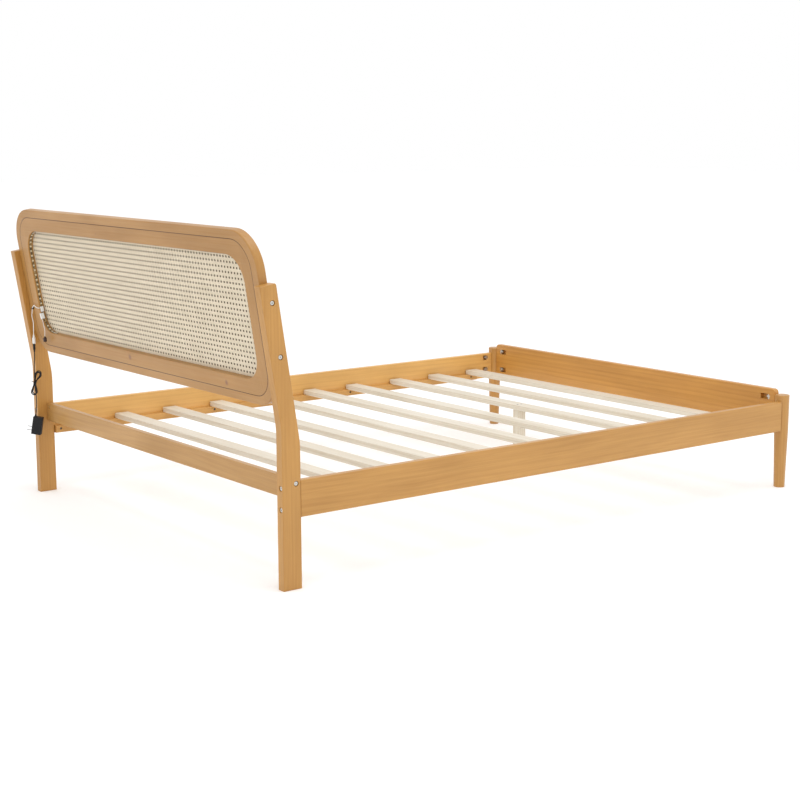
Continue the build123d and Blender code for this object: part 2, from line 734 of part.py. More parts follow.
def report_tube(name, path, solid, radius, radii):
    """Print a tube's length, its tightest bend and how its volume compares with its length."""
    volume_share = solid.volume / (pi * radius**2 * path.length)
    print(
        f"{name}: length {path.length:.1f}, radii {min(radii):.1f} to {max(radii):.1f},"
        f" tightest {min(radii) / (2 * radius):.1f} diameters, volume share {volume_share:.4f}"
    )


# Infrared eye on its own lead, hanging from the controller's lower end
controller_end = radians(controller_start + controller_sweep)
controller_middle = (controller_outer + controller_inner) / 2
eye_x = 661
eye_y = 1049
eye_top = 567
ir_lead_radius = 1
ir_start = (
    corner_x + controller_middle * cos(controller_end),
    corner_rise + controller_middle * sin(controller_end),
    -1.5,
)
ir_first_run = 9
ir_route = [
    panel_point(*ir_start),
    panel_point(
        ir_start[0] + ir_first_run * sin(controller_end),
        ir_start[1] - ir_first_run * cos(controller_end),
        ir_start[2],
    ),
    (671, 1048.5, 606.5),
    (663, eye_y, 597),
    (660, eye_y, 586.5),
    (eye_x, eye_y, 577),
    (eye_x, eye_y, eye_top),
]
with BuildPart() as ir_lead:
    with BuildLine() as ir_line:
        FilletPolyline(*ir_route, radius=bend_radii(ir_route))
    with BuildSketch(Plane(origin=ir_line.wire() @ 0, z_dir=ir_line.wire() % 0)):
        Circle(ir_lead_radius)
    sweep()
ir_lead.part.label = "ir_lead"
export_step(ir_lead.part, "parts/ir_lead.step")
report_tube("ir_lead", ir_line.wire(), ir_lead.part, ir_lead_radius, bend_radii(ir_route))

with BuildPart() as ir_receiver:
    with BuildSketch(Plane((eye_x, eye_y, eye_top), x_dir=(1, 0, 0), z_dir=(0, -1, 0))):
        with BuildLine():
            Polyline((0, 0), (2, 0), (2, -2.5))
            neck = ThreePointArc((2, -2.5), (4.9, -4.6), (6, -8.5))
            Polyline(neck @ 1, (6, -18), (0, -20.5), (0, 0))
        make_face()
        fillet(vertices().sort_by(Axis.X)[-1], radius=1.5)
    revolve(axis=Axis((eye_x, eye_y, 0), (0, 0, 1)))
ir_receiver.part.label = "ir_receiver"
export_step(ir_receiver.part, "parts/ir_receiver.step")

# White lead from the connector, over the ring, through a clip and down to the socket
socket_x = 738
lead_y = 1055
socket_top = 566
socket_bottom = 533
power_lead_radius = 1.5
power_route = [
    panel_point(connector_x, -93, 3),
    panel_point(connector_x, -93, -5),
    panel_point(691, -88.5, -11.5),
    panel_point(699.5, -83.5, -12),
    panel_point(709, -83, -9),
    panel_point(719, -86, -7.5),
    panel_point(730, -91, -5.5),
    panel_point(740, -97, -4.5),
    (741.5, lead_y, 647),
    (746.5, lead_y, 634),
    (744.5, lead_y, 622),
    (737, lead_y, 611),
    (736, lead_y, 598),
    (socket_x, lead_y, 580),
    (socket_x, lead_y, socket_top),
]
with BuildPart() as power_lead:
    with BuildLine() as power_line:
        FilletPolyline(*power_route, radius=bend_radii(power_route))
    with BuildSketch(Plane(origin=power_line.wire() @ 0, z_dir=power_line.wire() % 0)):
        Circle(power_lead_radius)
    sweep()
power_lead.part.label = "power_lead"
export_step(power_lead.part, "parts/power_lead.step")
power_radii = bend_radii(power_route)
report_tube("power_lead", power_line.wire(), power_lead.part, power_lead_radius, power_radii)

# The clip's saddle follows the lead at the middle of its bend
clip_middle = (739.1, -97.6, -4.8)
clip_along = (0.572, -0.818, -0.05)
clip_length = 4
clip_bore = 2
clip_outer = 2.8
clip_base_thickness = 1.2
clip_direction = panel_point(*clip_along) - panel_plane.origin
saddle_plane = Plane(origin=panel_point(*clip_middle), z_dir=clip_direction)
with BuildPart() as cable_clip:
    with BuildSketch(panel_plane):
        with Locations((742.5, -97)):
            Rectangle(9, 9)
            fillet(vertices(), radius=1)
    extrude(amount=-clip_base_thickness)
    with BuildSketch(panel_plane.offset(-clip_base_thickness)):
        with Locations((clip_middle[0], clip_middle[1])):
            Rectangle(3, 3)
    extrude(amount=clip_base_thickness + clip_middle[2] + 0.5)
    with BuildSketch(saddle_plane.offset(-clip_length / 2)):
        Circle(clip_outer)
    extrude(amount=clip_length)
    with BuildSketch(saddle_plane.offset(-clip_length)):
        Circle(clip_bore)
    extrude(amount=2 * clip_length, mode=Mode.SUBTRACT)
cable_clip.part.label = "cable_clip"
export_step(cable_clip.part, "parts/cable_clip.step")

# Socket on the white lead and the plug of the black one, both turned on the lead's axis
plug_bottom = 504.5
with BuildPart() as dc_socket:
    with BuildSketch(Plane((socket_x, lead_y, 0), x_dir=(1, 0, 0), z_dir=(0, -1, 0))):
        with BuildLine():
            Polyline(
                (0, socket_top),
                (2.5, socket_top),
                (4, 556),
                (5.5, 554),
                (5.5, socket_bottom),
                (0, socket_bottom),
                close=True,
            )
        make_face()
    revolve(axis=Axis((socket_x, lead_y, 0), (0, 0, 1)))
dc_socket.part.label = "dc_socket"
export_step(dc_socket.part, "parts/dc_socket.step")

with BuildPart() as dc_plug:
    with BuildSketch(Plane((socket_x, lead_y, 0), x_dir=(1, 0, 0), z_dir=(0, -1, 0))):
        with BuildLine():
            Polyline(
                (0, socket_bottom),
                (4.25, socket_bottom),
                (4.25, 516),
                (3.4, 513),
                (2.3, plug_bottom),
                (0, plug_bottom),
                close=True,
            )
        make_face()
    revolve(axis=Axis((socket_x, lead_y, 0), (0, 0, 1)))
dc_plug.part.label = "dc_plug"
export_step(dc_plug.part, "parts/dc_plug.step")

# Hank of the black lead. Its plane faces back and to the left: local X runs along the loops'
# width, local Y up and local Z out of the hank's face.
lead_radius = 1.6
hank_plane = Plane(origin=(742, lead_y, 399), x_dir=(-0.606, -0.796, 0), z_dir=(-0.796, 0.606, 0))
hank_turns = 4
layer_pitch = 4.1
waist_half = 1.9
top_centre = (11, 26.3)
bottom_centre = (-4.9, -35.7)
left_lean = 12
right_lean = 22
top_radius = 8.3
bottom_radius = 7.7
hank_end_length = 2 * lead_radius
hank_entry = (0.4, 38)
hank_exit = (-0.6, -47.5)


def hank_place(x, up, layer):
    """World point of a place in the hank, given across, up and by its layer."""
    depth = (hank_turns / 2 - layer) * layer_pitch
    return hank_plane.from_local_coords(Vector(x, up, depth))


def hank_direction(lean, climb=0):
    """World direction up the hank that leans sideways by an angle and climbs through the layers."""
    slanted = Vector(sin(radians(lean)), cos(radians(lean)), -climb)
    return (hank_plane.from_local_coords(slanted) - hank_plane.origin).normalized()


def lobe_side(centre, shift, lean, radius, layer):
    """World point on a lobe's flank: its centre moves along the lean, its flank lies across it."""
    across, along = cos(radians(lean)), sin(radians(lean))
    return hank_place(
        centre[0] + shift * along + radius * across, centre[1] + shift * across - radius * along, layer
    )


def hank_stations():
    """Places and directions of the strand at its entry, its waist, its lobes and its exit."""
    run_climb = layer_pitch / 62
    stations = [(hank_place(*hank_entry, 0), hank_direction(0) * -1)]
    for turn in range(hank_turns):
        low_lean = 8 + 3 * sin(2.1 * turn)
        low_radius = bottom_radius + 0.3 * sin(1.7 * turn)
        low_shift = 1.6 * sin(2.9 * turn)
        high_lean = 22.7 + 3 * sin(1.9 * turn + 1)
        high_radius = top_radius + 0.3 * cos(2.3 * turn)
        high_shift = 1.6 * sin(2.6 * turn + 0.5)
        low_left = lobe_side(bottom_centre, low_shift, low_lean, -low_radius, turn)
        low_right = lobe_side(bottom_centre, low_shift, low_lean, low_radius, turn)
        high_right = lobe_side(top_centre, high_shift, high_lean, high_radius, turn + 1)
        high_left = lobe_side(top_centre, high_shift, high_lean, -high_radius, turn + 1)
        stations += [
            (hank_place(-waist_half, 0, turn), hank_direction(left_lean) * -1),
            (low_left, hank_direction(low_lean) * -1),
            (low_right, hank_direction(low_lean)),
            (hank_place(waist_half, 0, turn + 0.5), hank_direction(right_lean, run_climb)),
            (high_right, hank_direction(high_lean)),
            (high_left, hank_direction(high_lean) * -1),
        ]
    stations.append((hank_place(-waist_half, 0, hank_turns), hank_direction(left_lean) * -1))
    stations.append((hank_place(*hank_exit, hank_turns), hank_direction(0) * -1))
    return stations


def biarc_middle(start, start_direction, end, end_direction):
    """Point where two arcs meet that leave the start and reach the end in those directions."""
    across = end - start
    both = start_direction + end_direction
    bend = 2 * (1 - start_direction.dot(end_direction))
    along = across.dot(both)
    if bend < 1e-6:
        reach = across.dot(across) / (2 * along)
    else:
        reach = (sqrt(along**2 + bend * across.dot(across)) - along) / bend
    first_control = start + start_direction * reach
    last_control = end - end_direction * reach
    return (first_control + last_control) / 2, (last_control - first_control).normalized()


hank_places = hank_stations()
hank_top = hank_places[0][0] + Vector(0, 0, hank_end_length)
hank_bottom = hank_places[-1][0] - Vector(0, 0, hank_end_length)
hank_radii = []
with BuildPart() as lead_hank:
    with BuildLine() as hank_line:
        Line(hank_top, hank_places[0][0])
        for (start, leaving), (end, arriving) in zip(hank_places, hank_places[1:]):
            middle, passing = biarc_middle(start, leaving, end, arriving)
            first_arc = TangentArc(start, middle, tangent=leaving)
            second_arc = TangentArc(middle, end, tangent=passing)
            hank_radii += [first_arc.radius, second_arc.radius]
        Line(hank_places[-1][0], hank_bottom)
    with BuildSketch(Plane(origin=hank_line.wire() @ 0, z_dir=hank_line.wire() % 0)):
        Circle(lead_radius)
    sweep()
lead_hank.part.label = "lead_hank"
export_step(lead_hank.part, "parts/lead_hank.step")
report_tube("lead_hank", hank_line.wire(), lead_hank.part, lead_radius, hank_radii)

# Least gap of the hank to itself, between points at least three diameters apart along it
hank_samples = 1600
hank_path = hank_line.wire()
hank_points = [tuple(hank_path @ (k / hank_samples)) for k in range(hank_samples + 1)]
skip = int(6 * lead_radius * hank_samples / hank_path.length) + 1
least_gap = min(
    dist(hank_points[i], hank_points[j])
    for i in range(hank_samples)
    for j in range(i + skip, hank_samples + 1)
) - 2 * lead_radius
print(f"lead_hank: least gap to itself {least_gap:.2f}")

# Twist tie round the hank's waist, with its twisted tail
tie_lean = (left_lean + right_lean) / 2
tie_plane = Plane(
    origin=hank_plane.origin, x_dir=hank_direction(tie_lean + 90), z_dir=hank_direction(tie_lean)
)
tie_half_width = waist_half + lead_radius + 0.7
tie_half_depth = hank_turns / 2 * layer_pitch + lead_radius + 0.5
tie_thickness = 0.8
tie_height = 3
tie_tail = 8
with BuildPart() as hank_tie:
    with BuildSketch(tie_plane.offset(-tie_height / 2)):
        RectangleRounded(
            2 * (tie_half_width + tie_thickness), 2 * (tie_half_depth + tie_thickness), 3
        )
        RectangleRounded(2 * tie_half_width, 2 * tie_half_depth, 2.2, mode=Mode.SUBTRACT)
        with Locations((-tie_half_width - tie_thickness / 2, -tie_half_depth / 2)):
            Rectangle(tie_tail, 1.4, align=(Align.MAX, Align.CENTER))
    extrude(amount=tie_height)
hank_tie.part.label = "hank_tie"
export_step(hank_tie.part, "parts/hank_tie.step")

# Black lead from the plug down to the hank
upper_route = [
    (socket_x, lead_y, plug_bottom),
    (socket_x, lead_y, plug_bottom - 16.5),
    (hank_top.X, hank_top.Y, hank_top.Z + 16.5),
    (hank_top.X, hank_top.Y, hank_top.Z),
]
with BuildPart() as lead_upper:
    with BuildLine() as upper_line:
        FilletPolyline(*upper_route, radius=bend_radii(upper_route))
    with BuildSketch(Plane(origin=upper_line.wire() @ 0, z_dir=upper_line.wire() % 0)):
        Circle(lead_radius)
    sweep()
lead_upper.part.label = "lead_upper"
export_step(lead_upper.part, "parts/lead_upper.step")
report_tube("lead_upper", upper_line.wire(), lead_upper.part, lead_radius, bend_radii(upper_route))

# Adapter hanging on its lead, tipped by its own weight, with the prongs up and to the right
adapter_tip = radians(9.5)
prong_direction = Vector(0.606 * cos(adapter_tip), 0.796 * cos(adapter_tip), sin(adapter_tip))
adapter_up = Vector(-0.606 * sin(adapter_tip), -0.796 * sin(adapter_tip), cos(adapter_tip))
adapter_plane = Plane(origin=(738.5, lead_y, 246), x_dir=prong_direction, z_dir=adapter_up)
adapter_width = 34
adapter_depth = 26
adapter_height = 62
relief_x = 10.5
relief_length = 8
with BuildPart() as power_adapter:
    with BuildSketch(adapter_plane.offset(-adapter_height / 2)):
        RectangleRounded(adapter_width, adapter_depth, 4)
    extrude(amount=adapter_height)
    adapter_axis = Axis(adapter_plane.origin, adapter_plane.z_dir)
    fillet(faces().sort_by(adapter_axis)[0].edges(), radius=2)
    fillet(faces().sort_by(adapter_axis)[-1].edges(), radius=2)
    with BuildSketch(adapter_plane.offset(adapter_height / 2)):
        with Locations((relief_x, 0)):
            Circle(3)
    extrude(amount=relief_length, taper=5.4)
power_adapter.part.label = "power_adapter"
export_step(power_adapter.part, "parts/power_adapter.step")

blade_length = 17
prong_plane = Plane(
    origin=adapter_plane.from_local_coords(Vector(adapter_width / 2, 0, 0)),
    x_dir=adapter_plane.y_dir,
    z_dir=adapter_plane.x_dir,
)
with BuildPart() as adapter_prongs:
    with BuildSketch(prong_plane):
        with Locations((0, -6.9), (0, -19.6)):
            Rectangle(6.35, 1.5)
    extrude(amount=blade_length)
    tips = faces().sort_by(Axis(prong_plane.origin, prong_plane.z_dir))[-2:]
    chamfer(tips.edges(), length=0.5)
adapter_prongs.part.label = "adapter_prongs"
export_step(adapter_prongs.part, "parts/adapter_prongs.step")

# Black lead from the hank down to the adapter
relief_top = adapter_plane.from_local_coords(Vector(relief_x, 0, adapter_height / 2 + relief_length))
lower_route = [
    hank_bottom,
    hank_bottom - Vector(0, 0, 14.5),
    hank_plane.from_local_coords(Vector(0.9, -83, -2.6)),
    relief_top + adapter_up * 14,
    relief_top,
]
with BuildPart() as lead_lower:
    with BuildLine() as lower_line:
        FilletPolyline(*lower_route, radius=bend_radii(lower_route))
    with BuildSketch(Plane(origin=lower_line.wire() @ 0, z_dir=lower_line.wire() % 0)):
        Circle(lead_radius)
    sweep()
lead_lower.part.label = "lead_lower"
export_step(lead_lower.part, "parts/lead_lower.step")
report_tube("lead_lower", lower_line.wire(), lead_lower.part, lead_radius, bend_radii(lower_route))
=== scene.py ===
from math import atan2, cos, hypot, pi, radians, sin

import bmesh
import bpy
from bpy.props import FloatProperty, FloatVectorProperty, IntProperty, PointerProperty
from mathutils import Matrix, Vector


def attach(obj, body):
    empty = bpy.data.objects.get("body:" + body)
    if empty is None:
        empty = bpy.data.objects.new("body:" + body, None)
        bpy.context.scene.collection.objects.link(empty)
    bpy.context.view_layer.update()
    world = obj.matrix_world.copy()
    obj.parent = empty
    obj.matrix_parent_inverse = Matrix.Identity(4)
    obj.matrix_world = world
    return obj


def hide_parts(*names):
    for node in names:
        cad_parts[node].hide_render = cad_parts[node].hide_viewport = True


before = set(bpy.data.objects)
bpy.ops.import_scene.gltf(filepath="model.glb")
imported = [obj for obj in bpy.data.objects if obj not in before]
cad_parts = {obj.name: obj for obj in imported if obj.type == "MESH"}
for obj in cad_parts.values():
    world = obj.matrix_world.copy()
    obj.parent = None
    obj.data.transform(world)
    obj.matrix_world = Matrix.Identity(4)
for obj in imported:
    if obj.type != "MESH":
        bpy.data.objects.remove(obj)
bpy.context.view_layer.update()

bl_info = {
    "name": "Slatted Bed with Cane Headboard",
    "version": (1, 0, 0),
    "blender": (4, 5, 0),
    "location": "3D View > Sidebar > Bed",
    "description": "Dresses a knock-down slatted bed: wood, cane, LED tape and its hanging lead",
    "category": "Object",
}

BODY = "root"

# The headboard's back face: its middle, and the lean of the boards in it
PANEL_MIDDLE = Vector((0, 1.0662, 0.75405))
LEAN = radians(9)
OPENING = {"half_width": 0.691, "half_height": 0.177, "top": 0.080, "bottom": 0.069}
TAPE_THICKNESS = 0.0012
TAPE_DEPTH = 0.009


def panel_matrix(x=0, up=0, forward=0):
    """Place on the headboard: X across it, Y up its lean, Z forward from its back face."""
    leaned = Matrix.Translation(PANEL_MIDDLE) @ Matrix.Rotation(pi / 2 - LEAN, 4, "X")
    return leaned @ Matrix.Translation((x, up, forward))


def axes_matrix(origin, x_axis, z_axis):
    """Place whose own X and Z run along two directions."""
    x_axis, z_axis = Vector(x_axis).normalized(), Vector(z_axis).normalized()
    y_axis = z_axis.cross(x_axis)
    turned = Matrix((x_axis, y_axis, z_axis)).transposed().to_4x4()
    return Matrix.Translation(origin) @ turned


# Sizes and colours that a user would change


def color_property(name, description, default):
    """A colour that the sidebar shows."""
    return FloatVectorProperty(
        name=name, description=description, subtype="COLOR", min=0, max=1, default=default
    )


class StudioSettings(bpy.types.PropertyGroup):
    camera_location: FloatVectorProperty(
        name="Camera Location", description="Where the camera stands", subtype="TRANSLATION",
        unit="LENGTH", default=(-4.42587, 3.39113, 1.28258),
    )
    aim: FloatVectorProperty(
        name="Aim", description="Point at the middle of the picture", subtype="TRANSLATION",
        unit="LENGTH", default=(-0.11134, 0.11021, 0.34956),
    )
    roll: FloatProperty(
        name="Roll", description="Turn of the camera about its own view", subtype="ANGLE",
        default=-0.00335,
    )
    lens: FloatProperty(
        name="Lens", description="Focal length in millimetres on a 36 mm sensor", min=20, max=200,
        default=72.41,
    )
    floor_color: color_property(
        "Floor", "Colour of the floor", (0.95, 0.95, 0.95)
    )
    sky_strength: FloatProperty(
        name="Sky Strength", description="Brightness of the even light all round", min=0, max=4,
        default=1.0,
    )


class WoodSettings(bpy.types.PropertyGroup):
    early_wood: color_property(
        "Early Wood", "Light wood between the growth rings", (0.550, 0.282, 0.064)
    )
    late_wood: color_property(
        "Late Wood", "Darker wood of the growth rings", (0.400, 0.170, 0.030)
    )
    knot_color: color_property(
        "Knots", "Colour at the heart of a knot", (0.250, 0.105, 0.040)
    )
    slat_light: color_property(
        "Slat Light Wood", "Bare wood of the slats", (0.770, 0.710, 0.600)
    )
    slat_dark: color_property(
        "Slat Dark Wood", "Growth rings of the slats", (0.630, 0.540, 0.410)
    )
    varnish: FloatProperty(
        name="Varnish", description="Strength of the clear coat", min=0, max=1, default=0.22,
    )


class CaneSettings(bpy.types.PropertyGroup):
    pitch_across: FloatProperty(
        name="Pitch Across", description="Distance between the weave's holes along the headboard",
        unit="LENGTH", default=0.0160,
    )
    pitch_up: FloatProperty(
        name="Pitch Up", description="Distance between the weave's holes up the headboard",
        unit="LENGTH", default=0.0150,
    )
    strand_width: FloatProperty(
        name="Strand Width", description="Width of one strand", unit="LENGTH", default=0.0044,
    )
    strand_color: color_property(
        "Strands", "Colour of the peeled cane", (0.765, 0.665, 0.510)
    )
    # Painted shade: the dark colour that stands in for the shade seen through the weave's holes
    shadow_color: color_property(
        "Painted Shade", "Colour seen through the weave's holes", (0.060, 0.038, 0.018)
    )


class LightTapeSettings(bpy.types.PropertyGroup):
    chip_pitch: FloatProperty(
        name="LED Pitch", description="Distance from one LED to the next", unit="LENGTH",
        default=0.0166,
    )
    tape_color: color_property(
        "Tape", "Colour of the flexible tape", (0.110, 0.075, 0.030)
    )
    plastic_color: color_property(
        "White Plastic", "Colour of the connector, controller and lead", (0.80, 0.80, 0.78)
    )


class LeadSettings(bpy.types.PropertyGroup):
    lead_diameter: FloatProperty(
        name="Black Lead", description="Diameter of the black lead", unit="LENGTH", default=0.0032,
    )
    hank_turns: IntProperty(
        name="Hank Turns", description="Loops of the tied lead", min=1, max=6, default=4,
    )
    rubber_color: color_property(
        "Black Plastic", "Colour of the lead, plug and adapter", (0.010, 0.010, 0.011)
    )


# Shader node groups


def add_node(tree, kind, **settings):
    """A new node with some of its settings made."""
    node = tree.nodes.new(kind)
    for name, value in settings.items():
        setattr(node, name, value)
    return node


def connect(tree, node, **inputs):
    """Give a node's sockets their values, or link them where the value is a socket.

    A socket goes by its name, with a low line for each space, or as s and its number.
    """
    for name, value in inputs.items():
        by_number = name[0] == "s" and name[1:].isdigit()
        socket = node.inputs[int(name[1:]) if by_number else name.replace("_", " ")]
        if isinstance(value, bpy.types.NodeSocket):
            tree.links.new(value, socket)
        else:
            socket.default_value = value
    return node


def stretched(tree, vector, scale, turn=(0, 0, 0), shift=(0, 0, 0)):
    """A vector shifted, turned and stretched by a Mapping node."""
    node = add_node(tree, "ShaderNodeMapping")
    connect(tree, node, Vector=vector, Location=shift, Rotation=turn, Scale=scale)
    return node.outputs[0]


def noise(tree, vector, scale=1.0, detail=3.0, roughness=0.5):
    """The grey value of a noise."""
    node = add_node(tree, "ShaderNodeTexNoise")
    connect(tree, node, Vector=vector, Scale=scale, Detail=detail, Roughness=roughness)
    return node.outputs["Fac"]


def remap(tree, value, low, high, to_low=0.0, to_high=1.0):
    """A value carried from one range to another and held inside it."""
    node = add_node(tree, "ShaderNodeMapRange")
    connect(tree, node, s0=value, s1=low, s2=high, s3=to_low, s4=to_high)
    return node.outputs[0]


def arithmetic(tree, operation, first, second=0.0):
    """The result of a Math node."""
    node = add_node(tree, "ShaderNodeMath", operation=operation)
    connect(tree, node, s0=first, s1=second)
    return node.outputs[0]


def blended(tree, factor, first, second, blend_type="MIX"):
    """Two colours mixed by a factor."""
    node = add_node(tree, "ShaderNodeMix", data_type="RGBA", blend_type=blend_type)
    connect(tree, node, s0=factor, s6=first, s7=second)
    return node.outputs[2]


def bumped(tree, height, strength, distance):
    """The normal of a surface with that height."""
    node = add_node(tree, "ShaderNodeBump")
    connect(tree, node, Height=height, Strength=strength, Distance=distance)
    return node.outputs[0]


def new_group(name, inputs, outputs):
    """A shader node group with named sockets, and its tree, entry and exit."""
    group = bpy.data.node_groups.new(name, "ShaderNodeTree")
    kinds = {"vector": "NodeSocketVector", "color": "NodeSocketColor", "value": "NodeSocketFloat"}
    for label, kind in inputs.items():
        group.interface.new_socket(label, in_out="INPUT", socket_type=kinds[kind])
    for label, kind in outputs.items():
        group.interface.new_socket(label, in_out="OUTPUT", socket_type=kinds[kind])
    entry, leave = group.nodes.new("NodeGroupInput"), group.nodes.new("NodeGroupOutput")
    return group, entry.outputs, leave


def board_grain_group():
    """Sawn and sanded board with its grain along X: growth rings, fine streaks, pores, blotches."""
    group, given, leave = new_group(
        "board_grain",
        {"Vector": "vector", "Early Wood": "color", "Late Wood": "color", "Ring Strength": "value",
         "Blotch Strength": "value"},
        {"Color": "color", "Roughness": "value", "Normal": "vector"},
    )
    vector = given["Vector"]
    sway = noise(group, stretched(group, vector, (1.3, 5, 5)), 1.0, 2.0)
    swayed = add_node(group, "ShaderNodeVectorMath", operation="MULTIPLY_ADD")
    connect(group, swayed, s0=(0.0, 0.030, 0.034), s1=sway, s2=vector)
    rings = add_node(group, "ShaderNodeTexWave", wave_type="RINGS", rings_direction="X")
    connect(group, rings, Vector=stretched(group, swayed.outputs[0], (0.05, 1, 1)), Scale=34.0,
            Distortion=2.2, Detail=2.0)
    ring_edge = remap(group, rings.outputs["Fac"], 0.35, 1.0)
    streaks = noise(group, stretched(group, vector, (3.5, 210, 210)), 1.0, 4.0, 0.62)
    pores = noise(group, stretched(group, vector, (40, 1300, 1300)), 1.0, 2.0)
    blotch = noise(group, stretched(group, vector, (3.0, 11, 11)), 1.0, 3.0)
    ringed = arithmetic(group, "MULTIPLY", ring_edge, given["Ring Strength"])
    streaked = arithmetic(group, "MULTIPLY", remap(group, streaks, 0.36, 0.70), 0.34)
    dotted = arithmetic(group, "MULTIPLY", remap(group, pores, 0.60, 0.78), 0.25)
    darkness = arithmetic(group, "ADD", arithmetic(group, "ADD", ringed, streaked), dotted)
    color = blended(group, darkness, given["Early Wood"], given["Late Wood"])
    cloudy = remap(group, blotch, 0.34, 0.68, 1.0, 0.80)
    cloudy_color = add_node(group, "ShaderNodeCombineColor")
    connect(group, cloudy_color, s0=cloudy, s1=arithmetic(group, "POWER", cloudy, 1.15),
            s2=arithmetic(group, "POWER", cloudy, 1.45))
    color = blended(group, given["Blotch Strength"], color,
                    blended(group, 1.0, color, cloudy_color.outputs[0], "MULTIPLY"))
    roughness = remap(group, arithmetic(group, "ADD", streaks, blotch), 0.7, 1.3, 0.36, 0.54)
    height = arithmetic(group, "SUBTRACT", arithmetic(group, "MULTIPLY", streaks, 0.6), dotted)
    connect(group, leave, Color=color, Roughness=roughness,
            Normal=bumped(group, height, 0.22, 0.0005))
    return group


def knot_group():
    """Dark round heart of a knot with its halo, as a factor that fades outwards."""
    group, given, leave = new_group(
        "knot_mask", {"Vector": "vector", "Place": "vector", "Size": "value"}, {"Mask": "value"}
    )
    wobble = noise(group, given["Vector"], 90.0, 2.0)
    apart = add_node(group, "ShaderNodeVectorMath", operation="DISTANCE")
    connect(group, apart, s0=given["Vector"], s1=given["Place"])
    ragged = arithmetic(group, "ADD", apart.outputs["Value"],
                        arithmetic(group, "MULTIPLY", wobble, 0.004))
    share = arithmetic(group, "DIVIDE", ragged, given["Size"])
    connect(group, leave, Mask=remap(group, share, 0.55, 1.5, 1.0, 0.0))
    return group


def strand_group():
    """Peeled cane along X: fibres, nodes' darker bands, and a shiny skin."""
    group, given, leave = new_group(
        "cane_skin", {"Vector": "vector", "Skin": "color"},
        {"Color": "color", "Roughness": "value", "Normal": "vector"},
    )
    fibres = noise(group, stretched(group, given["Vector"], (14, 1500, 1500)), 1.0, 2.0)
    bands = noise(group, stretched(group, given["Vector"], (9, 60, 60)), 1.0, 2.0)
    shade = arithmetic(group, "MULTIPLY", remap(group, fibres, 0.3, 0.7, 0.90, 1.04),
                       remap(group, bands, 0.32, 0.66, 0.86, 1.04))
    tint = add_node(group, "ShaderNodeCombineColor")
    connect(group, tint, s0=shade, s1=arithmetic(group, "POWER", shade, 1.1),
            s2=arithmetic(group, "POWER", shade, 1.4))
    color = blended(group, 1.0, given["Skin"], tint.outputs[0], "MULTIPLY")
    connect(group, leave, Color=color, Roughness=remap(group, bands, 0.3, 0.7, 0.42, 0.6),
            Normal=bumped(group, fibres, 0.25, 0.0003))
    return group


def moulded_group():
    """Moulded plastic: a fine even texture, slightly cloudy, with faint dust in cloudy patches."""
    group, given, leave = new_group(
        "moulded_skin",
        {"Vector": "vector", "Plastic": "color", "Smooth": "value", "Rough": "value"},
        {"Color": "color", "Roughness": "value", "Normal": "vector"},
    )
    grain = noise(group, given["Vector"], 2600.0, 2.0)
    clouds = noise(group, given["Vector"], 60.0, 3.0)
    dust = blended(group, remap(group, clouds, 0.55, 0.8, 0.0, 0.02), given["Plastic"],
                   (0.55, 0.52, 0.48, 1))
    spread = arithmetic(group, "SUBTRACT", given["Rough"], given["Smooth"])
    gloss = arithmetic(group, "ADD", given["Smooth"], arithmetic(group, "MULTIPLY", clouds, spread))
    connect(group, leave, Color=dust, Roughness=gloss, Normal=bumped(group, grain, 0.12, 0.0002))
    return group


def plated_group():
    """Plated steel: fine turning marks and faint spangles."""
    group, given, leave = new_group(
        "plated_skin", {"Vector": "vector", "Metal": "color"},
        {"Color": "color", "Roughness": "value", "Normal": "vector"},
    )
    spangle = noise(group, given["Vector"], 420.0, 3.0)
    marks = noise(group, stretched(group, given["Vector"], (900, 3500, 3500)), 1.0, 2.0)
    color = blended(group, remap(group, spangle, 0.35, 0.7, 0.0, 0.35), given["Metal"],
                    (0.36, 0.34, 0.30, 1))
    connect(group, leave, Color=color, Roughness=remap(group, spangle, 0.3, 0.7, 0.24, 0.44),
            Normal=bumped(group, marks, 0.15, 0.0001))
    return group


GROUPS = {
    "board_grain": board_grain_group,
    "knot_mask": knot_group,
    "cane_skin": strand_group,
    "moulded_skin": moulded_group,
    "plated_skin": plated_group,
}


# Materials


def new_material(name):
    """A material with its tree, its shader and the object's own coordinates."""
    material = bpy.data.materials.new(name)
    material.use_nodes = True
    tree = material.node_tree
    tree.nodes.clear()
    shader = add_node(tree, "ShaderNodeBsdfPrincipled")
    result = add_node(tree, "ShaderNodeOutputMaterial")
    tree.links.new(shader.outputs[0], result.inputs["Surface"])
    return material, tree, shader, add_node(tree, "ShaderNodeTexCoord").outputs["Object"]


def place_group(tree, name, **inputs):
    """A group placed in a material with its own values, and built if it's the first use."""
    group = bpy.data.node_groups.get(name) or GROUPS[name]()
    node = add_node(tree, "ShaderNodeGroup", node_tree=group)
    return connect(tree, node, **inputs).outputs


def opaque(color):
    """A colour with full alpha, as a socket takes it."""
    return (*color, 1.0)


def tinted(color, tint):
    """A colour with each channel multiplied by a share."""
    return [channel * share for channel, share in zip(color, tint)]


def coat(tree, shader, skin):
    """Give a shader the colour, roughness and normal that a group puts out."""
    connect(tree, shader, Base_Color=skin["Color"], Roughness=skin["Roughness"],
            Normal=skin["Normal"])


GRAIN_TURNS = {"x": (0, 0, 0), "y": (0, 0, -pi / 2), "z": (0, pi / 2, 0)}


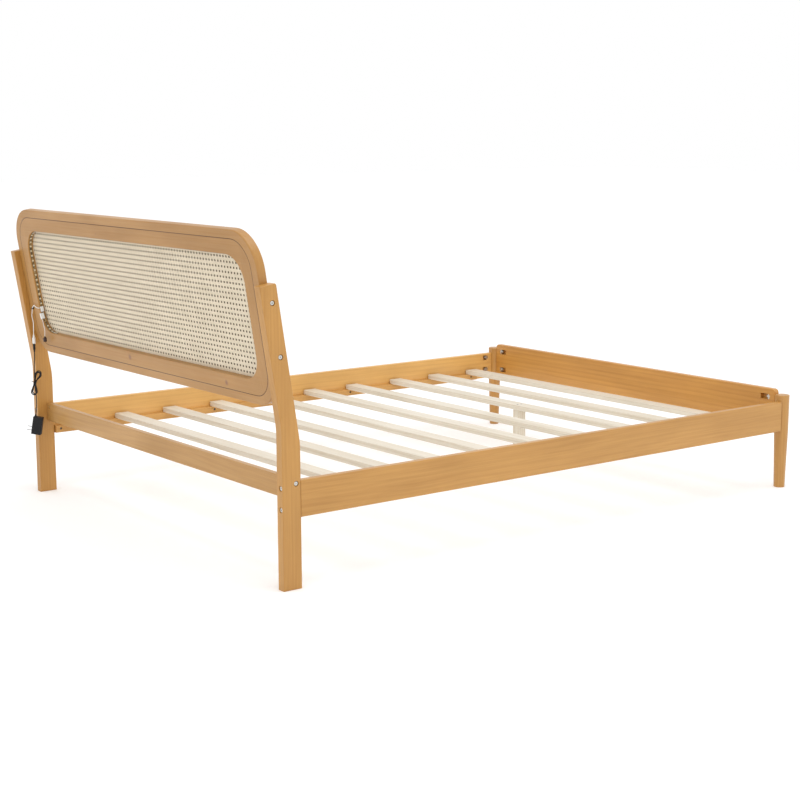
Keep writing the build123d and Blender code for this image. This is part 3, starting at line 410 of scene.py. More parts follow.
def wood_material(name, along, shift, light, dark, ring_strength, blotch_strength=0.5, varnish=0.0,
                  stiles_beyond=None, knots=()):
    """Wood with its grain along one axis. Stiles further out than a given X have upright grain."""
    material, tree, shader, vector = new_material(name)

    def grain(direction, extra):
        place = stretched(tree, vector, (1, 1, 1), GRAIN_TURNS[direction],
                          tuple(s + e for s, e in zip(shift, extra)))
        return place_group(tree, "board_grain", Vector=place, Early_Wood=opaque(light),
                           Late_Wood=opaque(dark), Ring_Strength=ring_strength,
                           Blotch_Strength=blotch_strength)

    surface = grain(along, (0, 0, 0))
    color, roughness, normal = surface["Color"], surface["Roughness"], surface["Normal"]
    if stiles_beyond:
        upright = grain("z", (0.4, 0.13, 0.09))
        parts = add_node(tree, "ShaderNodeSeparateXYZ")
        connect(tree, parts, s0=vector)
        across = arithmetic(tree, "ABSOLUTE", parts.outputs[0])
        outside = arithmetic(tree, "GREATER_THAN", across, stiles_beyond)
        color = blended(tree, outside, color, upright["Color"])
    for place, size in knots:
        mask = place_group(tree, "knot_mask", Vector=vector, Place=place, Size=size)["Mask"]
        color = blended(tree, mask, color, opaque(bpy.context.scene.bed_wood.knot_color))
    connect(tree, shader, Base_Color=color, Roughness=roughness, Normal=normal,
            Coat_Weight=varnish, Coat_Roughness=0.28)
    return material


def plastic_material(name, color, smooth, rough, shine=0.5):
    """Moulded plastic between two roughnesses."""
    material, tree, shader, vector = new_material(name)
    skin = place_group(tree, "moulded_skin", Vector=vector, Plastic=opaque(color),
                       Smooth=smooth, Rough=rough)
    coat(tree, shader, skin)
    connect(tree, shader, Specular_IOR_Level=shine)
    return material


def metal_material(name, color):
    """Plated metal."""
    material, tree, shader, vector = new_material(name)
    skin = place_group(tree, "plated_skin", Vector=vector, Metal=opaque(color))
    coat(tree, shader, skin)
    connect(tree, shader, Metallic=1.0)
    return material


def cane_material(name, turn, color):
    """Cane strands that run along a turned X."""
    material, tree, shader, vector = new_material(name)
    along = stretched(tree, vector, (1, 1, 1), turn)
    skin = place_group(tree, "cane_skin", Vector=along, Skin=opaque(color))
    coat(tree, shader, skin)
    return material


def dress(name, material):
    """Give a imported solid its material."""
    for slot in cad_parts[name].material_slots:
        slot.material = material


def linked_object(name, data):
    """A new object in the scene."""
    made = bpy.data.objects.new(name, data)
    bpy.context.scene.collection.objects.link(made)
    return made


def finished_piece(name, mesh, materials, replaced=(), smooth=False):
    """A new object of a bmesh that rides with the bed and stands for the named solids."""
    data = bpy.data.meshes.new(name)
    bmesh.ops.recalc_face_normals(mesh, faces=mesh.faces)
    mesh.to_mesh(data)
    mesh.free()
    for face in data.polygons:
        face.use_smooth = smooth
    piece = linked_object(name, data)
    for material in materials:
        data.materials.append(material)
    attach(piece, BODY)
    if replaced:
        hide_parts(*replaced)
    return piece


def smooth_curve(name, points, diameter, material, replaced):
    """A lead on one NURBS spline through the neighbourhood of its route's points."""
    data = bpy.data.curves.new(name, "CURVE")
    data.dimensions = "3D"
    data.bevel_depth = diameter / 2
    data.bevel_resolution = 3
    data.resolution_u = 12
    data.use_fill_caps = True
    spline = data.splines.new("NURBS")
    spline.points.add(len(points) - 1)
    for point, place in zip(spline.points, points):
        point.co = (*place, 1.0)
    spline.use_endpoint_u = True
    spline.order_u = 3
    data.materials.append(material)
    lead = linked_object(name, data)
    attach(lead, BODY)
    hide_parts(*replaced)
    return lead


def turned(profile, place, steps=32):
    """A solid spun from a profile of radius and height about the Z axis of its place."""
    mesh = bmesh.new()
    rim = [mesh.verts.new((radius, 0, height)) for radius, height in profile]
    edges = [mesh.edges.new(pair) for pair in zip(rim, rim[1:])]
    bmesh.ops.spin(mesh, geom=rim + edges, cent=(0, 0, 0), axis=(0, 0, 1), angle=2 * pi,
                   steps=steps, use_merge=True)
    bmesh.ops.remove_doubles(mesh, verts=mesh.verts, dist=1e-6)
    bmesh.ops.transform(mesh, matrix=place, verts=mesh.verts)
    return mesh


def joined(mesh, other):
    """The first bmesh with the second one's parts added to it."""
    data = bpy.data.meshes.new("joined")
    other.to_mesh(data)
    other.free()
    mesh.from_mesh(data)
    bpy.data.meshes.remove(data)
    return mesh


def verts_of(geom):
    """The vertices in what a bmesh operator returned."""
    return [item for item in geom if isinstance(item, bmesh.types.BMVert)]


def everything(mesh):
    """All of a bmesh's parts, as an operator takes them."""
    return list(mesh.verts) + list(mesh.edges) + list(mesh.faces)


def duplicated(mesh, geom):
    """The vertices of a copy of some of a bmesh's parts."""
    return verts_of(bmesh.ops.duplicate(mesh, geom=geom)["geom"])


def largest_face(mesh):
    """The face with the largest area."""
    return max(mesh.faces, key=lambda face: face.calc_area())


def round_corners(mesh, corners, radius, segments):
    """Round some corners of a flat outline."""
    bmesh.ops.bevel(mesh, geom=corners, offset=radius, segments=segments, profile=0.5,
                    affect="VERTICES", material=-1)


def bevelled_block(size, place, bevel):
    """A box of that size, centred on its place, with bevelled edges."""
    mesh = bmesh.new()
    bmesh.ops.create_cube(mesh, size=1.0, matrix=Matrix.Diagonal((*size, 1)))
    bmesh.ops.bevel(mesh, geom=mesh.edges, offset=bevel, segments=1, profile=0.5,
                    affect="EDGES", material=-1)
    bmesh.ops.transform(mesh, matrix=place, verts=mesh.verts)
    return mesh


# The studio


class BED_OT_set_stage(bpy.types.Operator):
    """Set up the camera, the pale floor and the soft studio light"""
    bl_idname = "bed.set_stage"
    bl_label = "Set the Stage"

    def execute(self, context):
        studio = context.scene.bed_studio
        self.place_camera(context.scene, studio)
        self.lay_floor(studio)
        self.hang_lights(context.scene, studio)
        return {"FINISHED"}

    def place_camera(self, scene, studio):
        camera = linked_object("camera", bpy.data.cameras.new("camera"))
        camera.data.lens = studio.lens
        camera.data.sensor_width = 36
        camera.data.clip_end = 60
        aim = Vector(studio.aim) - Vector(studio.camera_location)
        camera.location = studio.camera_location
        camera.rotation_euler = (
            aim.to_track_quat("-Z", "Y").to_matrix() @ Matrix.Rotation(studio.roll, 3, "Z")
        ).to_euler()
        scene.camera = camera

    def lay_floor(self, studio):
        mesh = bmesh.new()
        bmesh.ops.create_grid(mesh, x_segments=1, y_segments=1, size=30)
        data = bpy.data.meshes.new("floor")
        mesh.to_mesh(data)
        mesh.free()
        floor = linked_object("floor", data)
        material, tree, shader, vector = new_material("studio_floor")
        tone = remap(tree, noise(tree, vector, 2.0, 2.0), 0.2, 0.8, 0.0, 0.02)
        color = blended(tree, tone, opaque(studio.floor_color), (0.85, 0.85, 0.85, 1))
        connect(tree, shader, Base_Color=color, Roughness=0.9, Specular_IOR_Level=0.1,
                Emission_Color=(1, 1, 1, 1), Emission_Strength=0.10)
        data.materials.append(material)

    def hang_lights(self, scene, studio):
        world = bpy.data.worlds.new("studio")
        world.use_nodes = True
        sky = world.node_tree.nodes["Background"]
        sky.inputs["Color"].default_value = (1, 1, 1, 1)
        sky.inputs["Strength"].default_value = studio.sky_strength
        scene.world = world
        lights = {
            "key_light": ((-1.4, 0.6, 4.6), 3.2, 62),
            "back_light": ((-0.8, 4.6, 2.8), 2.6, 1.5),
            "fill_light": ((-4.2, -3.4, 2.6), 2.6, 5),
        }
        for name, (location, size, power) in lights.items():
            lamp = bpy.data.lights.new(name, "AREA")
            lamp.shape = "DISK"
            lamp.size = size
            lamp.energy = power
            lantern = linked_object(name, lamp)
            lantern.location = location
            facing = Vector((0, 0, 0.3)) - Vector(location)
            lantern.rotation_euler = facing.to_track_quat("-Z", "Y").to_euler()
        scene.view_settings.view_transform = "Standard"


# The wooden parts


class BED_OT_finish_boards(bpy.types.Operator):
    """Give every varnished board its grain, along its own length"""
    bl_idname = "bed.finish_boards"
    bl_label = "Finish the Boards"

    def execute(self, context):
        wood = context.scene.bed_wood
        boards = {
            "side_rail_left": ("y", (0.3, 0.07, 0.21), 0.16, (1.00, 1.00, 1.00)),
            "side_rail_right": ("y", (1.9, 0.11, 0.09), 0.14, (1.46, 1.66, 2.25)),
            "ledger_left": ("y", (2.7, 0.3, 0.14), 0.14, (1.10, 1.10, 1.20)),
            "ledger_right": ("y", (3.9, 0.4, 0.18), 0.14, (1.20, 1.25, 1.45)),
            "footboard": ("x", (0.8, 0.16, 0.24), 0.26, (1.14, 1.08, 0.94)),
            "head_crossrail": ("x", (2.1, 0.05, 0.31), 0.18, (0.95, 1.00, 1.16)),
            "head_post_left": ("z", (0.2, 0.09, 0.15), 0.16, (1.00, 1.00, 1.00)),
            "head_post_right": ("z", (1.2, 0.19, 0.25), 0.16, (0.96, 0.94, 0.92)),
            "foot_leg_left": ("z", (2.2, 0.10, 0.06), 0.16, (0.98, 0.99, 1.05)),
            "foot_leg_right": ("z", (3.3, 0.04, 0.12), 0.16, (0.98, 0.96, 0.95)),
            "crossrail_dowels": ("x", (0.5, 0.5, 0.5), 0.12, (1.20, 1.30, 1.80)),
        }
        for name, (along, shift, ring_strength, tint) in boards.items():
            light, dark = tinted(wood.early_wood, tint), tinted(wood.late_wood, tint)
            dress(name, wood_material(f"{name}_wood", along, shift, light, dark, ring_strength, 0.7,
                                      wood.varnish))
        warm = tinted(wood.early_wood, (0.82, 0.82, 0.86))
        # Grain's shift, ring and blotch strengths, where the stiles begin, and the knots
        panels = {
            "headboard_frame": ((0.6, 0.12, 0.17), 0.16, 0.8, 0.70, ((-0.5216, 0.2300, 0.0030),)),
            "headboard_back_ring": (
                (1.4, 0.21, 0.03), 0.14, 0.9, 0.691,
                ((0.0727, -0.1957, 0.0095), (-0.5070, -0.2046, 0.0085), (0.1580, 0.1930, 0.0040)),
            ),
        }
        for name, (shift, ring_strength, blotches, stiles_beyond, knots) in panels.items():
            places = [(tuple(panel_matrix(x, up).translation), size) for x, up, size in knots]
            dress(name, wood_material(f"{name}_wood", "x", shift, warm, wood.late_wood,
                                      ring_strength, blotches, wood.varnish, stiles_beyond, places))
        self.shade_frame_groove(wood)
        return {"FINISHED"}

    def shade_frame_groove(self, wood):
        """Painted shade: a dark line in the groove between the headboard's frame and its ring,
        where shade falls.
        """
        half_width, half_height, line_width, film = 0.7375, 0.223, 0.0020, 0.0002
        mesh = bmesh.new()
        corners = [mesh.verts.new((x * half_width, up * half_height, 0)) for x, up in (
            (-1, -1), (1, -1), (1, 1), (-1, 1))]
        mesh.faces.new(corners)
        for pair, radius in ((corners[:2], 0.071), (corners[2:], 0.086)):
            round_corners(mesh, pair, radius, 12)
        bmesh.ops.inset_individual(mesh, faces=mesh.faces[:], thickness=line_width)
        bmesh.ops.delete(mesh, geom=[largest_face(mesh)], context="FACES")
        bmesh.ops.solidify(mesh, geom=mesh.faces[:], thickness=film)
        bmesh.ops.transform(mesh, matrix=panel_matrix(0, 0, film), verts=mesh.verts)
        # Painted shade: a colour far darker than the wood, standing in for the shade in the groove
        dark = [channel * 0.30 for channel in wood.late_wood]
        darker = [channel * 0.5 for channel in dark]
        shade_line_material = wood_material("joint_stain_wood", "x", (0, 0, 0), dark, darker, 0.3)
        finished_piece("joint_painted_shade", mesh, [shade_line_material])


class BED_OT_finish_slats(bpy.types.Operator):
    """Give the slats and the prop their bare pale wood"""
    bl_idname = "bed.finish_slats"
    bl_label = "Finish the Slats"

    def execute(self, context):
        wood = context.scene.bed_wood
        slats = sorted(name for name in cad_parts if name.startswith("slat_"))
        for number, name in enumerate(slats):
            shift = (0.37 * number, 0.041 * number, 0.06 + 0.023 * (number % 4))
            dress(name, wood_material(f"{name}_wood", "x", shift, wood.slat_light, wood.slat_dark,
                                      0.30 + 0.05 * (number % 3), 0.45))
        dress("centre_leg", wood_material("centre_leg_wood", "z", (0.7, 0.02, 0.09),
                                          wood.slat_light, wood.slat_dark, 0.40, 0.5))
        return {"FINISHED"}


class BED_OT_finish_fittings(bpy.types.Operator):
    """Give the bolts, nuts, washers and screws their plating"""
    bl_idname = "bed.finish_fittings"
    bl_label = "Finish the Fittings"

    def execute(self, context):
        zinc = metal_material("bright_zinc", (0.66, 0.65, 0.62))
        dark = metal_material("black_phosphate", (0.10, 0.09, 0.08))
        for name in ("rail_bolts", "panel_bolts", "crossrail_bolts", "rail_barrel_nuts",
                     "crossrail_nuts", "foot_studs", "half_moon_washers", "foot_nuts",
                     "panel_inserts"):
            dress(name, zinc)
        for name in ("ledger_screws", "centre_leg_screws"):
            dress(name, dark)
        dress("adapter_prongs", metal_material("nickel_plate", (0.36, 0.36, 0.37)))
        return {"FINISHED"}


# The cane


class BED_OT_weave_cane(bpy.types.Operator):
    """Weave the cane: pairs of uprights, pairs across and two sets of diagonals"""
    bl_idname = "bed.weave_cane"
    bl_label = "Weave the Cane"

    half_width = 0.700
    half_height = 0.186
    depth = 0.0190  # of the dark sheet of painted shade, from the headboard's back face
    strand_thickness = 0.00050
    wave = 0.00022
    layer_offset = 0.00050  # from the painted shade sheet to the middle of a layer
    diagonal_share = 0.58  # width of a diagonal strand in widths of a straight one

    def execute(self, context):
        cane = context.scene.bed_cane
        self.cane = cane
        uprights = self.strand_pairs(self.half_height, cane.pitch_up, self.half_width,
                                     cane.pitch_across)
        bmesh.ops.rotate(uprights, verts=uprights.verts, matrix=Matrix.Rotation(pi / 2, 3, "Z"))
        wefts = self.strand_pairs(self.half_width, cane.pitch_across, self.half_height,
                                  cane.pitch_up)
        bmesh.ops.scale(wefts, verts=wefts.verts, vec=(1, 1, -1))
        finish = panel_matrix(0, 0, self.depth)
        for name, mesh, turn in (
            ("cane_uprights", uprights, GRAIN_TURNS["z"]),
            ("cane_wefts", wefts, GRAIN_TURNS["x"]),
            ("cane_diagonals_rising", self.diagonals(1), (0, pi / 4, 0)),
            ("cane_diagonals_falling", self.diagonals(-1), (0, -pi / 4, 0)),
        ):
            self.face_both_ways(mesh)
            bmesh.ops.transform(mesh, matrix=finish, verts=mesh.verts)
            skin = cane_material(f"{name}_skin", turn, cane.strand_color)
            finished_piece(name, mesh, [skin], ("cane_panel",))
        self.hang_shade_sheet(cane, finish)
        return {"FINISHED"}

    def strand(self, half_length, step, width, wave):
        """One strand along X that waves over and under at each step."""
        mesh = bmesh.new()
        half_width, half_thickness = width / 2, self.strand_thickness / 2
        start = [mesh.verts.new((-half_length, y, z)) for y, z in (
            (-half_width, 0), (0, half_thickness), (half_width, 0), (0, -half_thickness))]
        edges = [mesh.edges.new(pair) for pair in zip(start, start[1:] + start[:1])]
        mesh.faces.new(start)
        count = round(2 * half_length / (step / 2))
        for number in range(count):
            grown = bmesh.ops.extrude_edge_only(mesh, edges=edges)["geom"]
            verts = verts_of(grown)
            edges = [item for item in grown if isinstance(item, bmesh.types.BMEdge)
                     and all(vert in verts for vert in item.verts)]
            rise = wave if number % 2 else -wave
            if number == 0:
                rise /= 2
            bmesh.ops.translate(mesh, verts=verts, vec=(2 * half_length / count, 0, rise))
        bmesh.ops.edgeloop_fill(mesh, edges=edges)
        return mesh

    def copies(self, mesh, count, pitch):
        """Copies of the whole mesh side by side along Y."""
        first = everything(mesh)
        for number in range(1, count):
            bmesh.ops.translate(mesh, verts=duplicated(mesh, first), vec=(0, pitch * number, 0))
        bmesh.ops.translate(mesh, verts=mesh.verts, vec=(0, -pitch * (count - 1) / 2, 0))

    def strand_pairs(self, half_length, step, half_spread, pitch):
        """Pairs of strands along X, one over where the other is under, at a pitch along Y."""
        mesh = self.strand(half_length, step, self.cane.strand_width, self.wave)
        gap = self.cane.strand_width / 2 + 0.0001
        verts = duplicated(mesh, everything(mesh))
        bmesh.ops.translate(mesh, verts=mesh.verts, vec=(0, -gap, 0))
        bmesh.ops.translate(mesh, verts=verts, vec=(0, 2 * gap, 0))
        bmesh.ops.scale(mesh, verts=verts, vec=(1, 1, -1))
        self.copies(mesh, int(2 * half_spread / pitch), pitch)
        return mesh

    def diagonals(self, slope):
        """Single strands that rise or fall across the holes' corners, cut at the panel's edge."""
        cane = self.cane
        angle = atan2(cane.pitch_up, cane.pitch_across)
        spacing = cane.pitch_up * cos(angle)
        reach = hypot(self.half_width, self.half_height)
        mesh = self.strand(reach, 2 * reach, cane.strand_width * self.diagonal_share, 0)
        spread = 2 * (self.half_width * sin(angle) + self.half_height * cos(angle))
        count = int(spread / spacing) | 1  # odd, so that one strand crosses the middle
        self.copies(mesh, count, spacing)
        bmesh.ops.translate(mesh, verts=mesh.verts, vec=(0, 0, -slope * self.wave * 0.7))
        bmesh.ops.rotate(mesh, verts=mesh.verts, matrix=Matrix.Rotation(slope * angle, 3, "Z"))
        for normal, distance in (((1, 0, 0), self.half_width), ((-1, 0, 0), self.half_width),
                                 ((0, 1, 0), self.half_height), ((0, -1, 0), self.half_height)):
            bmesh.ops.bisect_plane(mesh, geom=everything(mesh), dist=1e-6, plane_no=normal,
                                   plane_co=Vector(normal) * distance, clear_outer=True)
            rims = [edge for edge in mesh.edges if edge.is_boundary]
            bmesh.ops.holes_fill(mesh, edges=rims, sides=6)
        return mesh

    def face_both_ways(self, mesh):
        """A layer behind the dark sheet of painted shade and its mirror image in front of it."""
        bmesh.ops.translate(mesh, verts=mesh.verts, vec=(0, 0, -self.layer_offset))
        front = duplicated(mesh, everything(mesh))
        bmesh.ops.scale(mesh, verts=front, vec=(1, 1, -1))

    def hang_shade_sheet(self, cane, finish):
        """A thin dark sheet of painted shade between the two layers, which shows through their
        holes.
        """
        mesh = bmesh.new()
        bmesh.ops.create_grid(mesh, x_segments=24, y_segments=6, size=1)
        bmesh.ops.scale(mesh, verts=mesh.verts, vec=(self.half_width, self.half_height, 1))
        bmesh.ops.solidify(mesh, geom=mesh.faces, thickness=0.0002)
        bmesh.ops.transform(mesh, matrix=finish, verts=mesh.verts)
        material, tree, shader, vector = new_material("cane_shade_sheet")
        # Painted shade: a dark colour with a faint speckle and bump, standing in for the shade
        # behind the weave
        shade_speckle = noise(tree, stretched(tree, vector, (1200, 1200, 1200)), 1.0, 2.0)
        lighter = tuple(channel * 1.6 for channel in cane.shadow_color)
        color = blended(tree, shade_speckle, opaque(cane.shadow_color), opaque(lighter))
        connect(tree, shader, Base_Color=color, Roughness=0.9,
                Normal=bumped(tree, shade_speckle, 0.3, 0.0002))
        finished_piece("cane_painted_shade", mesh, [material])


# The light tape


class BED_OT_fit_light_tape(bpy.types.Operator):
    """Fit the LEDs to their tape, and finish the connector, the controller and the clip"""
    bl_idname = "bed.fit_light_tape"
    bl_label = "Fit the Light Tape"

    def execute(self, context):
        tape = context.scene.bed_light_tape
        material, tree, shader, vector = new_material("flexible_tape")
        lines = noise(tree, vector, 900.0, 2.0)
        pads = noise(tree, vector, 160.0, 2.0)
        copper = blended(tree, remap(tree, pads, 0.52, 0.58), opaque(tape.tape_color),
                         (0.42, 0.26, 0.10, 1))
        connect(tree, shader, Base_Color=copper, Roughness=remap(tree, pads, 0.3, 0.7, 0.3, 0.5),
                Normal=bumped(tree, lines, 0.3, 0.0002), Coat_Weight=0.5)
        dress("led_strip", material)
        white = plastic_material("white_gloss_plastic", tape.plastic_color, 0.18, 0.34)
        dress("led_connector", white)
        dress("led_controller", white)
        dress("ir_receiver", plastic_material("smoked_window", (0.030, 0.012, 0.010), 0.08, 0.22))
        clip = plastic_material("black_clip_plastic", (0.016, 0.015, 0.015), 0.35, 0.55)
        dress("cable_clip", clip)
        self.fit_chips(tape)
        return {"FINISHED"}

    def runs(self):
        """Straight runs and quarter turns of the tape's inner face, from its end at the bottom."""
        half_width = OPENING["half_width"] - TAPE_THICKNESS
        half_height = OPENING["half_height"] - TAPE_THICKNESS
        top, bottom = OPENING["top"] - TAPE_THICKNESS, OPENING["bottom"] - TAPE_THICKNESS
        return (
            ("run", (0.600, -half_height), (half_width - bottom, -half_height), pi / 2),
            ("turn", (half_width - bottom, bottom - half_height), bottom, -pi / 2),
            ("run", (half_width, bottom - half_height), (half_width, half_height - top), pi),
            ("turn", (half_width - top, half_height - top), top, 0),
            ("run", (half_width - top, half_height), (top - half_width, half_height), -pi / 2),
            ("turn", (top - half_width, half_height - top), top, pi / 2),
            ("run", (-half_width, half_height - top), (-half_width, -0.102), 0),
        )

    def stations(self, pitch):
        """Place of each LED with the direction that it faces."""
        travelled, due = 0.0, pitch / 2
        for kind, first, second, angle in self.runs():
            length = (Vector(second) - Vector(first)).length if kind == "run" else second * pi / 2
            while due < travelled + length:
                share = (due - travelled) / length
                if kind == "run":
                    place, facing = Vector(first).lerp(Vector(second), share), angle
                else:
                    turn = angle + share * pi / 2
                    place = Vector(first) + second * Vector((cos(turn), sin(turn)))
                    facing = turn + pi
                beside_plugs = place.x > 0.6 and -0.150 < place.y < -0.084
                if not beside_plugs:
                    yield place, facing
                due += pitch
            travelled += length

    def fit_chips(self, tape):
        chip = bmesh.new()
        bmesh.ops.create_cube(chip, size=1, matrix=Matrix.Diagonal((0.0014, 0.0050, 0.0050, 1)))
        bmesh.ops.translate(chip, verts=chip.verts, vec=(0.0007, 0, 0))
        window = [face for face in chip.faces if face.normal.x > 0.9]
        bmesh.ops.inset_region(chip, faces=window, thickness=0.0007, depth=0)
        bmesh.ops.inset_region(chip, faces=window, thickness=0.0002, depth=-0.0003)
        for face in window:
            face.material_index = 1
        stencil = bpy.data.meshes.new("led_stencil")
        chip.to_mesh(stencil)
        chip.free()
        mesh = bmesh.new()
        for place, facing in self.stations(tape.chip_pitch):
            before = len(mesh.verts)
            mesh.from_mesh(stencil)
            mesh.verts.ensure_lookup_table()
            there = panel_matrix(place.x, place.y, TAPE_DEPTH) @ Matrix.Rotation(facing, 4, "Z")
            bmesh.ops.transform(mesh, matrix=there, verts=mesh.verts[before:])
        bpy.data.meshes.remove(stencil)
        body = plastic_material("led_body", (0.78, 0.76, 0.70), 0.25, 0.45)
        phosphor = plastic_material("led_phosphor", (0.85, 0.70, 0.30), 0.10, 0.25)
        finished_piece("led_chips", mesh, [body, phosphor])


# The leads

SOCKET_PLACE = (0.738, 1.055, 0)
LAYER_PITCH = 0.0041


class BED_OT_run_white_leads(bpy.types.Operator):
    """Run the white lead to its socket and the infrared eye's lead below the controller"""
    bl_idname = "bed.run_white_leads"
    bl_label = "Run the White Leads"

    def execute(self, context):
        color = context.scene.bed_light_tape.plastic_color
        white = plastic_material("white_lead_plastic", color, 0.30, 0.45)
        socket = turned(
            [(0, 0.5330), (0.0034, 0.5330), (0.0034, 0.5345), (0.0050, 0.5345),
             (0.0055, 0.5350), (0.0055, 0.5385), (0.0051, 0.5388), (0.0051, 0.5396),
             (0.0055, 0.5399), (0.0055, 0.5415), (0.0051, 0.5418), (0.0051, 0.5426),
             (0.0055, 0.5429), (0.0055, 0.5536), (0.0050, 0.5545), (0.0040, 0.5560),
             (0.0036, 0.5585), (0.0030, 0.5588), (0.0030, 0.5596), (0.0034, 0.5600),
             (0.0031, 0.5625), (0.0026, 0.5628), (0.0026, 0.5636), (0.0028, 0.5640),
             (0.0024, 0.5660), (0, 0.5660)],
            Matrix.Translation(SOCKET_PLACE),
        )
        socket_piece = finished_piece("lead_socket", socket, [white],
                                      ("dc_socket",), True)
        power = smooth_curve("power_lead_curve", [
            (0.68740, 1.04869, 0.66266), (0.68740, 1.05659, 0.66141), (0.69100, 1.06371, 0.66484),
            (0.69950, 1.06499, 0.66970), (0.70900, 1.06211, 0.67066), (0.71900, 1.06015, 0.66794),
            (0.73000, 1.05740, 0.66331), (0.74000, 1.05547, 0.65754), (0.74150, 1.05500, 0.64700),
            (0.74650, 1.05500, 0.63400), (0.74450, 1.05500, 0.62200), (0.73700, 1.05500, 0.61100),
            (0.73600, 1.05500, 0.59800), (0.73800, 1.05500, 0.58000), (0.73800, 1.05500, 0.56600),
        ], 0.003, white, ("power_lead",))
        eye = smooth_curve("ir_lead_curve", [
            (0.68119, 1.04723, 0.62470), (0.67796, 1.04592, 0.61641), (0.67100, 1.04850, 0.60650),
            (0.66300, 1.04900, 0.59700), (0.66000, 1.04900, 0.58650), (0.66100, 1.04900, 0.57700),
            (0.66100, 1.04900, 0.56700),
        ], 0.002, white, ("ir_lead",))
        return {"FINISHED"}


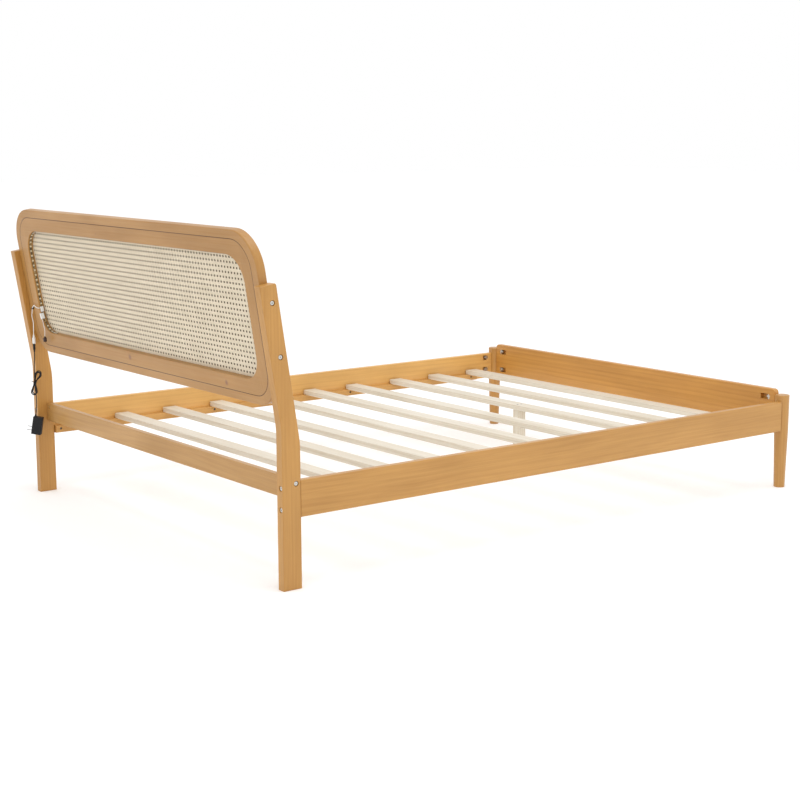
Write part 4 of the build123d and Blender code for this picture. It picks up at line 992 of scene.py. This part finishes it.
class BED_OT_hang_black_lead(bpy.types.Operator):
    """Hang the black lead with its plug, its tied hank and the adapter at its end"""
    bl_idname = "bed.hang_black_lead"
    bl_label = "Hang the Black Lead"

    hank = axes_matrix((0.742, 1.055, 0.399), (-0.606, -0.796, 0), (-0.796, 0.606, 0))
    case = axes_matrix((0.7385, 1.055, 0.246), (0.5977, 0.7851, 0.165), (-0.1, -0.1314, 0.9863))

    def execute(self, context):
        leads = context.scene.bed_leads
        black = plastic_material("black_lead_plastic", leads.rubber_color, 0.32, 0.50, 0.25)
        case_color = [channel * 1.2 for channel in leads.rubber_color]
        satin = plastic_material("black_case_plastic", case_color, 0.40, 0.60, 0.22)
        plug = finished_piece("lead_plug", turned(
            [(0, 0.5045), (0.0020, 0.5045), (0.0023, 0.5050), (0.0025, 0.5068),
             (0.0021, 0.5070), (0.0021, 0.5078), (0.0027, 0.5082), (0.0029, 0.5100),
             (0.0025, 0.5102), (0.0025, 0.5110), (0.0031, 0.5114), (0.0034, 0.5130),
             (0.0040, 0.5150), (0.00425, 0.5165), (0.00425, 0.5215), (0.0039, 0.5217),
             (0.0039, 0.5225), (0.00425, 0.5227), (0.00425, 0.5322), (0.0040, 0.5330),
             (0, 0.5330)],
            Matrix.Translation(SOCKET_PLACE),
        ), [satin], ("dc_plug",), True)
        tie = self.wire_tie(black)
        dress("power_adapter", satin)
        ribs = self.relief_ribs(satin)
        points = self.route(leads.hank_turns)
        lead = smooth_curve("black_lead_curve", points, leads.lead_diameter, black,
                            ("lead_upper", "lead_hank", "lead_lower"))
        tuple(points[0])
        return {"FINISHED"}

    def route(self, turns):
        """Points of the lead from the plug, round the hank's turns and down to the adapter."""
        points = [(0.73800, 1.05500, 0.50450), (0.73800, 1.05500, 0.48800),
                  (0.73523, 1.05965, 0.45670)]
        first = 2 * LAYER_PITCH
        points += [self.hank @ Vector((*place, first)) for place in (
            (0.0004, 0.0380), (-0.0002, 0.0200))]
        for turn in range(turns):
            points += self.turn_of_hank(turn, first - LAYER_PITCH * turn)
        last = first - LAYER_PITCH * turns
        points += [self.hank @ Vector((*place, last)) for place in (
            (-0.0006, 0.0060), (-0.0032, -0.0060), (-0.0034, -0.0260), (-0.0006, -0.0440),
            (-0.0006, -0.0560))]
        return points + [(0.74889, 1.05051, 0.33380), (0.74350, 1.05270, 0.31600),
                         (0.73948, 1.05628, 0.30000), (0.74088, 1.05812, 0.28620)]

    def turn_of_hank(self, turn, depth):
        """Points of one loop: down past the waist, round the low lobe, up, round the high one."""
        low_lean = radians(8 + 3 * sin(2.1 * turn))
        high_lean = radians(22.7 + 3 * sin(1.9 * turn + 1))
        low = Matrix.Translation((-0.0049, -0.0357, 0)) @ Matrix.Rotation(-low_lean, 4, "Z") @ (
            Matrix.Translation((0.0018 * cos(2.2 * turn), 0.0022 * sin(2.9 * turn), 0)))
        high = Matrix.Translation((0.0110, 0.0263, 0)) @ Matrix.Rotation(-high_lean, 4, "Z") @ (
            Matrix.Translation((0.0022 * cos(2.4 * turn + 1), 0.0028 * sin(2.6 * turn + 0.5), 0)))
        low_radius = 0.0080 + 0.0003 * sin(1.7 * turn)
        high_radius = 0.0085 + 0.0003 * cos(2.3 * turn)
        corner = 0.41
        half_ring = ((-1, corner), (-1, -corner), (-corner, -1), (corner, -1), (1, -corner),
                     (1, corner))
        places = [(Vector((-0.0006, 0.0060, 0)), 0), (Vector((-0.0032, -0.0060, 0)), 0)]
        for across, up in half_ring:
            places.append((low @ Vector((across * low_radius, up * low_radius, 0)), 0))
        places += [(Vector((-0.0005, -0.0060, 0)), 0.35), (Vector((0.0043, 0.0060, 0)), 0.65)]
        for across, up in half_ring:
            places.append((high @ Vector((-across * high_radius, -up * high_radius, 0)), 1))
        return [self.hank @ (place + Vector((0, 0, depth - LAYER_PITCH * layer)))
                for place, layer in places]

    def wire_tie(self, material):
        """The tie round the hank's waist, a flat band with its two ends twisted together."""
        lean = radians(17)
        across = (self.hank.to_3x3() @ Vector((cos(lean), -sin(lean), 0))).normalized()
        along = (self.hank.to_3x3() @ Vector((sin(lean), cos(lean), 0))).normalized()
        place = axes_matrix(self.hank.translation, across, along)
        mesh = bmesh.new()
        corners = [mesh.verts.new((x, y, -0.0015)) for x, y in (
            (-0.0046, -0.0107), (0.0046, -0.0107), (0.0046, 0.0107), (-0.0046, 0.0107))]
        mesh.faces.new(corners)
        round_corners(mesh, corners, 0.0026, 5)
        grown = bmesh.ops.extrude_edge_only(mesh, edges=list(mesh.edges))["geom"]
        flat = [face for face in mesh.faces if len(face.verts) > 4]
        bmesh.ops.delete(mesh, geom=flat, context="FACES_ONLY")
        bmesh.ops.translate(mesh, verts=verts_of(grown), vec=(0, 0, 0.003))
        bmesh.ops.recalc_face_normals(mesh, faces=mesh.faces)
        bmesh.ops.solidify(mesh, geom=mesh.faces, thickness=0.0007)
        for number in range(8):
            twist = Matrix.Translation((-0.0054 - 0.0009 * number, -0.0051, 0)) @ Matrix.Rotation(
                number * 0.55, 4, "X")
            joined(mesh, bevelled_block((0.0010, 0.0026, 0.0007), twist, 0.00015))
        bmesh.ops.transform(mesh, matrix=place, verts=mesh.verts)
        return finished_piece("wire_tie", mesh, [material], ("hank_tie",))

    def relief_ribs(self, material):
        """Ribs of the strain relief where the lead enters the adapter."""
        profile = [(0.0020, 0.0312)]
        for number in range(4):
            height, radius = 0.0316 + 0.0018 * number, 0.0033 - 0.00019 * number
            profile += [(radius - 0.0005, height), (radius, height + 0.0002),
                        (radius, height + 0.0009), (radius - 0.0005, height + 0.0011)]
        profile += [(0.0019, 0.0388), (0.0020, 0.0312)]
        place = self.case @ Matrix.Translation((0.0105, 0, 0))
        return finished_piece("relief_ribs", turned(profile, place, 24), [material],
                              (), True)


# Panel and registration


class BED_PT_sidebar(bpy.types.Panel):
    """Lists the steps that dress the bed and the values that they use"""
    bl_idname = "BED_PT_sidebar"
    bl_label = "Slatted Bed"
    bl_space_type = "VIEW_3D"
    bl_region_type = "UI"
    bl_category = "Bed"

    def draw(self, context):
        for group in SETTINGS:
            values = getattr(context.scene, group)
            box = self.layout.box()
            for name in values.__annotations__:
                box.prop(values, name)
        for step in STEPS:
            self.layout.operator(step.bl_idname)


SETTINGS = {
    "bed_studio": StudioSettings,
    "bed_wood": WoodSettings,
    "bed_cane": CaneSettings,
    "bed_light_tape": LightTapeSettings,
    "bed_leads": LeadSettings,
}
STEPS = (
    BED_OT_set_stage,
    BED_OT_finish_boards,
    BED_OT_finish_slats,
    BED_OT_finish_fittings,
    BED_OT_weave_cane,
    BED_OT_fit_light_tape,
    BED_OT_run_white_leads,
    BED_OT_hang_black_lead,
)


def register():
    for kind in (*SETTINGS.values(), *STEPS, BED_PT_sidebar):
        bpy.utils.register_class(kind)
    for name, group in SETTINGS.items():
        setattr(bpy.types.Scene, name, PointerProperty(type=group))


def unregister():
    for name in SETTINGS:
        delattr(bpy.types.Scene, name)
    for kind in reversed((*SETTINGS.values(), *STEPS, BED_PT_sidebar)):
        bpy.utils.unregister_class(kind)


def main():
    register()
    for step in STEPS:
        family, action = step.bl_idname.split(".")
        getattr(getattr(bpy.ops, family), action)()


if __name__ == "__main__":
    main()
